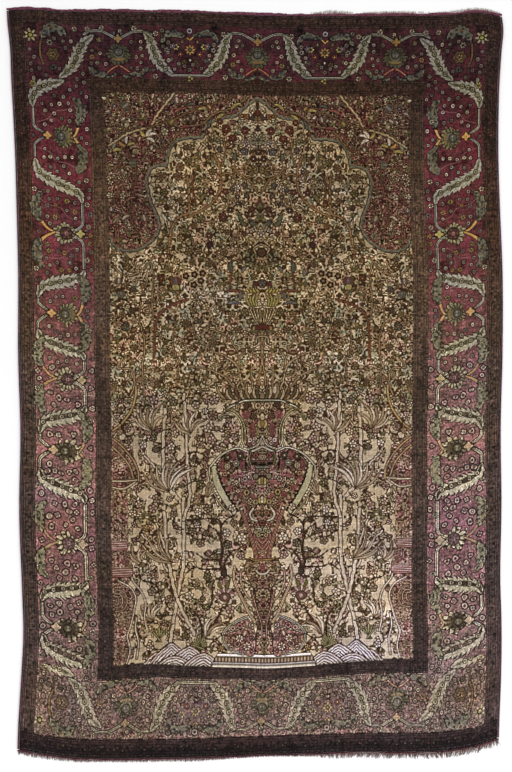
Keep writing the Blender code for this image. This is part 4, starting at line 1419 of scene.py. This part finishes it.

# The field is drawn in fresh dyes, and this is how bright each height of it is left, partly by fading and
# partly by painted pile sheen, with a painted band of sheen across it at 1060 and a darker band at 1175.
# along the weave, brightness of the field with its painted sheen
FIELD_BRIGHTNESS_AND_SHEEN = [
    (0, 0.75), (190, 0.80), (260, 0.82), (700, 0.82), (1000, 0.80), (1060, 0.88), (1100, 0.82),
    (1175, 0.72), (1240, 0.80), (1500, 0.78), (1800, 0.80), (1850, 0.76), (2013, 0.72),
]
# along the weave, how much lighter and browner than the drawing the inks of the main border have become
INK_FADED = [
    (0, 16, 10, 8), (46, 18, 11, 9), (70, 12, 8, 6), (250, 6, 4, 3), (900, 10, 7, 4), (1150, 16, 9, 5),
    (1300, 18, 8, 4), (1500, 16, 6, 3), (1700, 8, 2, 1), (1830, 2, 0, 0), (2013, 0, 0, 0),
]
noise = np.random.default_rng(5)


def beyond(half, low, high):
    """How far each knot is outside a rectangle set about the rug's middle; negative inside it."""
    return np.maximum(np.abs(knot_across) - half, np.maximum(low - knot_along, knot_along - high))


in_field = 1 / (1 + np.exp(np.clip(beyond(FIELD, BOTTOM_FIELD, TOP_FIELD) / 2.5, -30, 30)))
in_border = (beyond(INNER, BOTTOM_INNER, TOP_INNER) > 0) & (beyond(OUTER, BOTTOM_OUTER, TOP_OUTER) < 0)
# brightness by height: partly fading, partly painted pile sheen, in the field and the borders
bright = read_off(FIELD_BRIGHTNESS_AND_SHEEN, 1, knot_along) * in_field + read_off(BORDER_FADE_AND_SHEEN, 1,
        knot_along) * (1 - in_field)
grey = knots @ np.array([[0.3], [0.59], [0.11]])
kept = 0.80 + 0.12 * np.clip((knot_along - 700) / 700, 0, 1)
knots = grey + (knots - grey) * (0.93 * in_field + kept * (1 - in_field))
knots = knots * bright
# old silk: the pale dyes of the field have gone a little pink, the dark ones browner
tone = np.clip(knots.mean(axis=2, keepdims=True), 0, 1)
aged = np.concatenate([0.98 + 0.04 * tone, 0.90 + 0.16 * tone, 0.66 + 0.62 * tone], axis=2)
knots = knots * (1 + (aged - 1) * in_field)


def drift(down, over):
    """Slow chance changes over the whole rug, this many times down it and across it."""
    coarse = noise.normal(0, 1, (down, over))
    rows = np.linspace(0, down - 1, KNOTS_ALONG)
    cols = np.linspace(0, over - 1, KNOTS_ACROSS)
    wide = np.stack([np.interp(cols, np.arange(over), row) for row in coarse])
    return np.stack([np.interp(rows, np.arange(down), col) for col in wide.T], axis=1)[..., None]


# wear and light have changed it unevenly: some places yellower, some greyer, some darker, and no two alike
knots = knots * (1 + drift(30, 20) * np.array([0.012, 0.0, -0.035]))
knots = knots * (1 + 0.035 * drift(44, 5) + 0.03 * drift(14, 10) + 0.03 * drift(110, 70))
# painted sheen: the lower right of the rug is made a little lighter and bluer than the rest, most of all in
# the field, as where the light falls brightest on the silk
sheen = np.clip((knot_across + 200) / 800, 0, 1) * np.clip((1000 - knot_along) / 500, 0, 1)
sheen = sheen * (0.6 + 1.2 * in_field)
knots = knots * (0.98 + sheen * np.array([0.14, 0.165, 0.25]))
faded_ink = np.concatenate([read_off(INK_FADED, k, knot_along) for k in (1, 2, 3)], axis=2) / 255
knots = knots + faded_ink * np.clip(1 - tone / 0.36, 0, 1) * in_border
# the greens, dyed yellow over blue, have lost some of their blue and browned
green = np.clip(knots[..., 1] - 0.93 * knots[..., 0], 0, None)
knots[..., 1] = knots[..., 1] - 0.6 * green
knots[..., 0] = knots[..., 0] + 0.15 * green
rows_streak = noise.normal(0, 0.045, (KNOTS_ALONG, 1, 1))
cols_streak = noise.normal(0, 0.035, (1, KNOTS_ACROSS, 1))
grain = noise.normal(0, 0.075, (KNOTS_ALONG, KNOTS_ACROSS, 1)) * (1 + 0.9 * in_border * (knot_along < 1100))
knots = np.clip(knots * (1 + rows_streak + cols_streak + grain), 0.012, 1)


# ---------------------------------------------------------------- the knotted pile
# Silk knotted row by row on the warps and cropped to about 5 mm. It is made here in panels that meet
# without a gap, one face to a knot, each face dyed from the design above.

MM = 0.001
HEM = 0.3  # how far over the floor the pile's outermost points are
ROUNDED = 0.7  # how far the next ones are below the pile
# along the weave, from and to across, width and height of the low folds that run over the rug
CREASES = [
    (905, -648, 648, 50, -0.8), (1035, -648, 648, 60, 0.7), (1165, -648, 648, 50, -0.9),
    (1560, -648, 648, 45, -0.5), (420, -648, 648, 40, -0.5),
]


def pile_height(across, along):
    """The top of the pile over the floor, in millimetres, with the low folds of a rug kept rolled."""
    height = np.full(np.broadcast(across, along).shape, PILE)
    for place, start, end, width, rise in CREASES:
        height = height + rise * np.exp(-((along - place) / (width / 2)) ** 2)
    height = height + 0.12 * np.sin(across / 37 + along / 53) * np.sin(along / 91 - across / 61)
    return height


def to_light(colour):
    """Screen colour to linear light."""
    return np.where(colour <= 0.04045, colour / 12.92, ((colour + 0.055) / 1.055) ** 2.4)


def new_finish(name, roughness, gloss):
    """A new material and its surface shader."""
    finish = bpy.data.materials.new(name)
    finish.use_nodes = True
    surface = finish.node_tree.nodes["Principled BSDF"]
    surface.inputs["Roughness"].default_value = roughness
    surface.inputs["Specular IOR Level"].default_value = gloss
    return finish, surface


def wire(finish, value, socket):
    """Feeds a socket from another node's socket, or sets it to a plain value."""
    if isinstance(value, bpy.types.NodeSocket):
        finish.node_tree.links.new(value, socket)
    else:
        socket.default_value = value


def add_node(finish, kind, **inputs):
    """A new shader node, its inputs named with underscores for spaces."""
    node = finish.node_tree.nodes.new("ShaderNode" + kind)
    for name, value in inputs.items():
        wire(finish, value, node.inputs[name.replace("_", " ")])
    return node


def stand_up(finish, surface, relief, strength, distance):
    """Gives a surface the fine relief of a texture."""
    bump = add_node(finish, "Bump", Strength=strength, Distance=distance, Height=relief)
    wire(finish, bump.outputs["Normal"], surface.inputs["Normal"])


def knotted_finish(name, roughness, gloss, shades, strength, distance, kind, **texture):
    """Silk in the dye of each knot, a fine texture shading it and standing it up."""
    finish, surface = new_finish(name, roughness, gloss)
    dyed = add_node(finish, "Attribute")
    dyed.attribute_name = "dye"
    place = add_node(finish, "TexCoord")
    grain = add_node(finish, kind, Vector=place.outputs["Object"], **texture).outputs["Fac"]
    shade = add_node(finish, "MapRange", Value=grain, To_Min=shades[0], To_Max=shades[1])
    tint = add_node(finish, "VectorMath", Vector=dyed.outputs["Color"])
    tint.operation = "SCALE"
    wire(finish, shade.outputs["Result"], tint.inputs["Scale"])
    wire(finish, tint.outputs["Vector"], surface.inputs["Base Color"])
    stand_up(finish, surface, grain, strength, distance)
    return finish


def grid_piece(name, across, along):
    """A new sheet of faces, with the column and row of each of its points and of each of its faces."""
    bpy.ops.mesh.primitive_grid_add(x_subdivisions=across, y_subdivisions=along, size=2)
    piece = bpy.context.object
    piece.name = name
    piece.data.uv_layers.active.name = "OFBake"
    places = []
    for parts, field in ((piece.data.vertices, "co"), (piece.data.polygons, "center")):
        spots = np.empty(len(parts) * 3)
        parts.foreach_get(field, spots)
        places.append((spots.reshape(-1, 3)[:, :2] + 1) / 2 * (across, along))
    return piece, np.rint(places[0]).astype(int).T, np.floor(places[1]).astype(int).T


def shape_sheet(mesh, x, y, height, finish):
    """Moves the points of a sheet to their places, in millimetres, and gives it its material."""
    mesh.vertices.foreach_set("co", (np.stack([x, y, height], axis=1) * MM).ravel())
    mesh.materials.append(finish)
    mesh.update()


def dye_faces(mesh, colours):
    """Stores a dye for each face of a sheet."""
    shades = np.ones((len(mesh.polygons), 4))
    shades[:, :3] = to_light(colours)
    mesh.attributes.new("dye", "FLOAT_COLOR", "FACE").data.foreach_set("color", shades.ravel())


def smooth_faces(mesh):
    mesh.polygons.foreach_set("use_smooth", np.ones(len(mesh.polygons), bool))


pile_finish = knotted_finish("clipped_silk_pile", 0.8, 0.06, (0.86, 1.14), 0.35, 0.0008, "TexNoise",
                             Scale=900, Detail=3)
bpy.ops.object.select_all(action="DESELECT")
ruffle = np.random.default_rng(11).normal(0, 0.16, (KNOTS_ALONG + 1, KNOTS_ACROSS + 1))
# name, first and last column of knots, first and last row of knots
PANELS = [
    ("pile_left_border", 0, 78, 0, 792),
    ("pile_right_border", 432, 510, 0, 792),
    ("pile_bottom_border", 78, 432, 0, 80),
    ("pile_lower_garden", 78, 432, 80, 294),
    ("pile_middle_garden", 78, 432, 294, 508),
    ("pile_arch", 78, 432, 508, 721),
    ("pile_top_border", 78, 432, 721, 792),
]
for name, first, last, low, high in PANELS:
    panel, (column, row), (knot_column, knot_row) = grid_piece(name, last - first, high - low)
    mesh = panel.data
    column = column + first
    row = row + low
    across = (column / KNOTS_ACROSS - 0.5) * WIDTH
    along = row / KNOTS_ALONG * LENGTH
    height = pile_height(across, along) + ruffle[row, column]
    # the outermost points turn down to the floor and the next ones start the rounding
    rim = np.minimum(np.minimum(column, KNOTS_ACROSS - column), np.minimum(row, KNOTS_ALONG - row))
    height = np.where(rim == 0, HEM, np.where(rim == 1, height - ROUNDED, height))
    dye_faces(mesh, knots[knot_row + low, knot_column + first])
    shape_sheet(mesh, *on_floor(across, along), height, pile_finish)
    smooth_faces(mesh)
    panel.select_set(False)
    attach(panel, "root")
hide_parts("knotted_rug")


# ---------------------------------------------------------------- the woven back
# The foundation of silk warps and wefts that every knot is tied to. It shows only from below, as rows of
# knot backs in the colours of the design.

BACK_STEP = 3
BACK_ACROSS = KNOTS_ACROSS // BACK_STEP
BACK_ALONG = KNOTS_ALONG // BACK_STEP
back_finish = knotted_finish("woven_silk_back", 0.75, 0.15, (0.75, 1.25), 0.4, 0.0005, "TexWave",
                             Scale=62, Distortion=0.6)
back, (column, row), (knot_column, knot_row) = grid_piece("woven_back", BACK_ACROSS, BACK_ALONG)
x, y = on_floor((column / BACK_ACROSS - 0.5) * WIDTH, row / BACK_ALONG * LENGTH)
rim = (column % BACK_ACROSS == 0) | (row % BACK_ALONG == 0)
backs = knots.reshape(BACK_ALONG, BACK_STEP, BACK_ACROSS, BACK_STEP, 3).mean(axis=(1, 3))
dye_faces(back.data, backs[knot_row, knot_column])
shape_sheet(back.data, x, y, np.where(rim, HEM, 0.05), back_finish)
back.data.flip_normals()
back.select_set(False)
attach(back, "root")


# ---------------------------------------------------------------- the overcast sides
# Along each side the outermost warps are wrapped in purple-brown silk, row after row, into a firm round
# cord. Each is a sheet of faces rolled into a tube, its seam welded, thinned to a point at both ends.

CORD_ROWS = 760
CORD_FACETS = 8


def add_ramp(finish, surface, texture, *stops):
    """Colours a surface by a texture, from stops of place and colour: lowest, highest, then others."""
    ramp = add_node(finish, "ValToRGB", Fac=texture)
    elements = ramp.color_ramp.elements
    for number, (position, colour) in enumerate(stops):
        stop = elements[number] if number < 2 else elements.new(position)
        stop.position = position
        stop.color = (*colour, 1)
    wire(finish, ramp.outputs["Color"], surface.inputs["Base Color"])


side_finish, surface = new_finish("overcast_silk", 0.6, 0.2)
place = add_node(side_finish, "TexCoord").outputs["Object"]
worn = add_node(side_finish, "TexNoise", Vector=place, Scale=14, Detail=6, Roughness=0.7)
add_ramp(side_finish, surface, worn.outputs["Fac"], (0.36, (0.022, 0.010, 0.014)),
         (0.66, (0.13, 0.035, 0.065)))
wraps = add_node(side_finish, "TexWave", Vector=place, Scale=140, Distortion=1.5, Detail=2)
wraps.bands_direction = "Y"
stand_up(side_finish, surface, wraps.outputs["Fac"], 0.6, 0.0005)

# name, the CAD piece that it dresses, which side
SIDE_CORDS = [("left_overcast_cord", "left_selvedge", -1), ("right_overcast_cord", "right_selvedge", 1)]
for name, node, side in SIDE_CORDS:
    cord, (facet, row), faces = grid_piece(name, CORD_FACETS, CORD_ROWS)
    turn = (1 - 2 * facet / CORD_FACETS) * np.pi
    x, y = on_floor(np.full(len(row), side * WIDTH / 2), row / CORD_ROWS * LENGTH)
    y = y + np.where(row == 0, 1.0, np.where(row == CORD_ROWS, -1.0, 0))
    lumps = np.random.default_rng(8 + side).normal(0, 0.10, CORD_ROWS + 1)[row]
    radius = SIDE_CORD / 2 - 0.16 + lumps * 0.6 - 0.10 * (row % 2)
    radius = np.where(row % CORD_ROWS == 0, 0.004, radius)
    middle = x + side * (SIDE_CORD / 2 + GAP)
    height = radius * (1 - np.cos(turn)) + 0.05
    shape_sheet(cord.data, middle + radius * np.sin(turn), y, height, side_finish)
    weld = cord.modifiers.new("weld", "WELD")
    weld.merge_threshold = 0.00001
    bpy.ops.object.modifier_apply(modifier="weld")
    smooth_faces(cord.data)
    cord.select_set(False)
    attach(cord, "root")
    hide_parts(node)


# ---------------------------------------------------------------- the woven ends and the warp fringe
# Beyond the pile the warps are woven into a narrow magenta band at the top, a dark red one at the bottom.
# What is left of the cut warps stands out of them, a stubble in places and a short fringe in others.

BAND_CELLS = 520
BAND_THREADS = 6
FRAY_SPAN = 13  # cells over which the band's outer edge wavers
YARN_RADIUS = 0.72
SHORTEST = 2.2  # warp ends shorter than this are hidden in the band
# across the weave, how far the warp ends stand out of the top band
TOP_ENDS = [
    (-660, 1.5), (-560, 1), (120, 1), (160, 4), (195, 9), (235, 6), (262, 2), (300, 4), (400, 5), (470, 2),
    (540, 5), (600, 6), (660, 2),
]
# across the weave, how far the warp ends stand out of the bottom band
BOTTOM_ENDS = [
    (-660, 8), (-600, 9), (-530, 8), (-400, 6), (-260, 7), (-160, 7), (-80, 4), (-20, 3), (110, 4),
    (150, 6), (190, 12), (260, 13), (400, 14), (480, 15), (600, 17), (660, 14),
]


def yarn_finish(name, low, middle, high, grain):
    """A fuzzy yarn whose tint changes from one strand to the next."""
    finish, surface = new_finish(name, 0.85, 0.08)
    place = add_node(finish, "TexCoord").outputs["Object"]
    stretch = add_node(finish, "Mapping", Vector=place, Scale=grain)
    strands = add_node(finish, "TexNoise", Vector=stretch.outputs["Vector"], Scale=1, Detail=5,
                       Roughness=0.65)
    add_ramp(finish, surface, strands.outputs["Fac"], (0.34, low), (0.68, high), (0.5, middle))
    stand_up(finish, surface, strands.outputs["Fac"], 0.6, 0.0006)
    return finish


magenta_band = yarn_finish("magenta_end_weave", (0.035, 0.012, 0.018), (0.14, 0.035, 0.062),
                           (0.27, 0.10, 0.14), (260, 420, 300))
dark_red_band = yarn_finish("dark_red_end_weave", (0.012, 0.006, 0.008), (0.055, 0.014, 0.022),
                            (0.16, 0.05, 0.06), (200, 420, 300))
tan_ends = yarn_finish("tan_warp_ends", (0.05, 0.035, 0.03), (0.36, 0.27, 0.22), (0.66, 0.56, 0.48),
                       (380, 60, 60))
rosy_ends = yarn_finish("rosy_warp_ends", (0.030, 0.014, 0.015), (0.15, 0.085, 0.080), (0.40, 0.29, 0.26),
                        (380, 60, 60))
# band, its fringe, the CAD piece, slot, which end, depth, warp ends, strands, the two finishes, seed
ENDINGS = [
    ("top_end_band", "top_warp_ends", "top_fringe", "top_end_weave", 1, TOP_BAND, TOP_ENDS, 700,
     magenta_band, tan_ends, 3),
    ("bottom_end_band", "bottom_warp_ends", "bottom_fringe", "bottom_end_weave", -1, BOTTOM_BAND,
     BOTTOM_ENDS, 1250, dark_red_band, rosy_ends, 4),
]
for (band_name, fringe_name, node, slot, outward, depth, ends, strands, band_finish, fringe_finish,
     seed) in ENDINGS:
    chance = random.Random(seed)
    worn = np.random.default_rng(seed)
    woven, (cell, thread), faces = grid_piece(band_name, BAND_CELLS, BAND_THREADS)
    share = thread / BAND_THREADS if outward > 0 else 1 - thread / BAND_THREADS
    frayed = np.convolve(worn.normal(0, 1, BAND_CELLS + FRAY_SPAN), np.ones(FRAY_SPAN) / 3.6, "valid")
    frayed = 0.82 + 0.16 * np.clip(frayed, -1.4, 1) + worn.normal(0, 0.03, BAND_CELLS + 1)
    last_row = 0.0 if outward < 0 else LENGTH
    x, y = on_floor((cell / BAND_CELLS - 0.5) * (WIDTH + 2 * SIDE_CORD), np.full(len(cell), last_row))
    y = y + outward * (GAP + depth * frayed[cell] * share)
    height = 0.2 + 1.45 * np.sqrt(np.clip(np.sin(share * np.pi), 0, 1)) + worn.normal(0, 0.05, len(cell))
    shape_sheet(woven.data, x, y, height, band_finish)
    smooth_faces(woven.data)
    woven.select_set(False)

    bpy.ops.curve.primitive_bezier_curve_add()
    fringe = bpy.context.object
    fringe.name = fringe_name
    fringe.location = (0, 0, 0)
    yarns = fringe.data
    yarns.splines.clear()
    yarns.bevel_depth = YARN_RADIUS * MM
    yarns.bevel_resolution = 0
    yarns.use_fill_caps = True
    lean = 0.0
    for strand in range(strands):
        across = ((strand + chance.random()) / strands - 0.5) * (WIDTH + 2 * SIDE_CORD - 4)
        length = float(smooth_through(ends, 1, across)) * chance.uniform(0.45, 1.15)
        lean = 0.86 * lean + chance.gauss(0, 0.18)
        if length < SHORTEST:
            continue
        x, y = on_floor(across, last_row)
        y = float(y) + outward * (GAP + depth * 0.75)
        x = float(x)
        curl = chance.uniform(-0.25, 0.25)
        yarn = yarns.splines.new("POLY")
        yarn.points.add(4)
        rise = chance.uniform(0.7, 1.5)
        for number, point in enumerate(yarn.points):
            far = number / 4
            aside = length * (lean * far + curl * far * far) + chance.uniform(-0.3, 0.3)
            reach = (length + depth * 0.25) * far * (1 - 0.12 * abs(lean))
            lift = max(rise * (1 - 0.6 * far), 0.63)
            point.co = ((x + aside) * MM, (y + outward * reach) * MM, lift * MM, 1)
            point.radius = 1.0 - 0.55 * far
    bpy.ops.object.convert(target="MESH")
    fringe = bpy.context.object
    fringe.data.materials.clear()
    fringe.data.materials.append(fringe_finish)
    fringe.select_set(False)
    for piece in (woven, fringe):
        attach(piece, "root")
        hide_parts(node)


# ---------------------------------------------------------------- floor, light and camera
# A plain pale floor under soft light from all round, a little stronger from the lower right, and a long
# lens straight above.

bpy.ops.mesh.primitive_plane_add(size=14, location=(0, 0, -0.0005))
floor = bpy.context.object
floor.name = "floor"
floor_finish, surface = new_finish("pale_floor", 0.9, 0.5)
surface.inputs["Base Color"].default_value = (0.95, 0.95, 0.95, 1)
floor.data.materials.append(floor_finish)
floor.select_set(False)

world = bpy.context.scene.world or bpy.data.worlds.new("studio")
bpy.context.scene.world = world
world.use_nodes = True
sky = world.node_tree.nodes["Background"]
sky.inputs["Color"].default_value = (1, 1, 1, 1)
sky.inputs["Strength"].default_value = 0.9
bpy.ops.object.light_add(type="AREA", location=(2.4, -2.6, 3.4))
lamp = bpy.context.object
lamp.name = "soft_window"
lamp.data.shape = "RECTANGLE"
lamp.data.size = 2.4
lamp.data.size_y = 2.4
lamp.data.energy = 70
lamp.rotation_euler = (Vector((0, 0, 0)) - lamp.location).to_track_quat("-Z", "Y").to_euler()

SENSOR = 36
LENS = 200
VIEW_HEIGHT = 2.0844  # metres of the floor that the photo spans from top to bottom
camera_data = bpy.data.cameras.new("camera")
camera = bpy.data.objects.new("camera", camera_data)
bpy.context.scene.collection.objects.link(camera)
camera_data.sensor_fit = "AUTO"
camera_data.sensor_width = SENSOR
camera_data.lens = LENS
camera.location = (0.0027, -0.0054, VIEW_HEIGHT * LENS / SENSOR + 0.005)
camera.rotation_euler = (0, 0, 0)
bpy.context.scene.camera = camera
bpy.context.scene.view_settings.view_transform = "Standard"
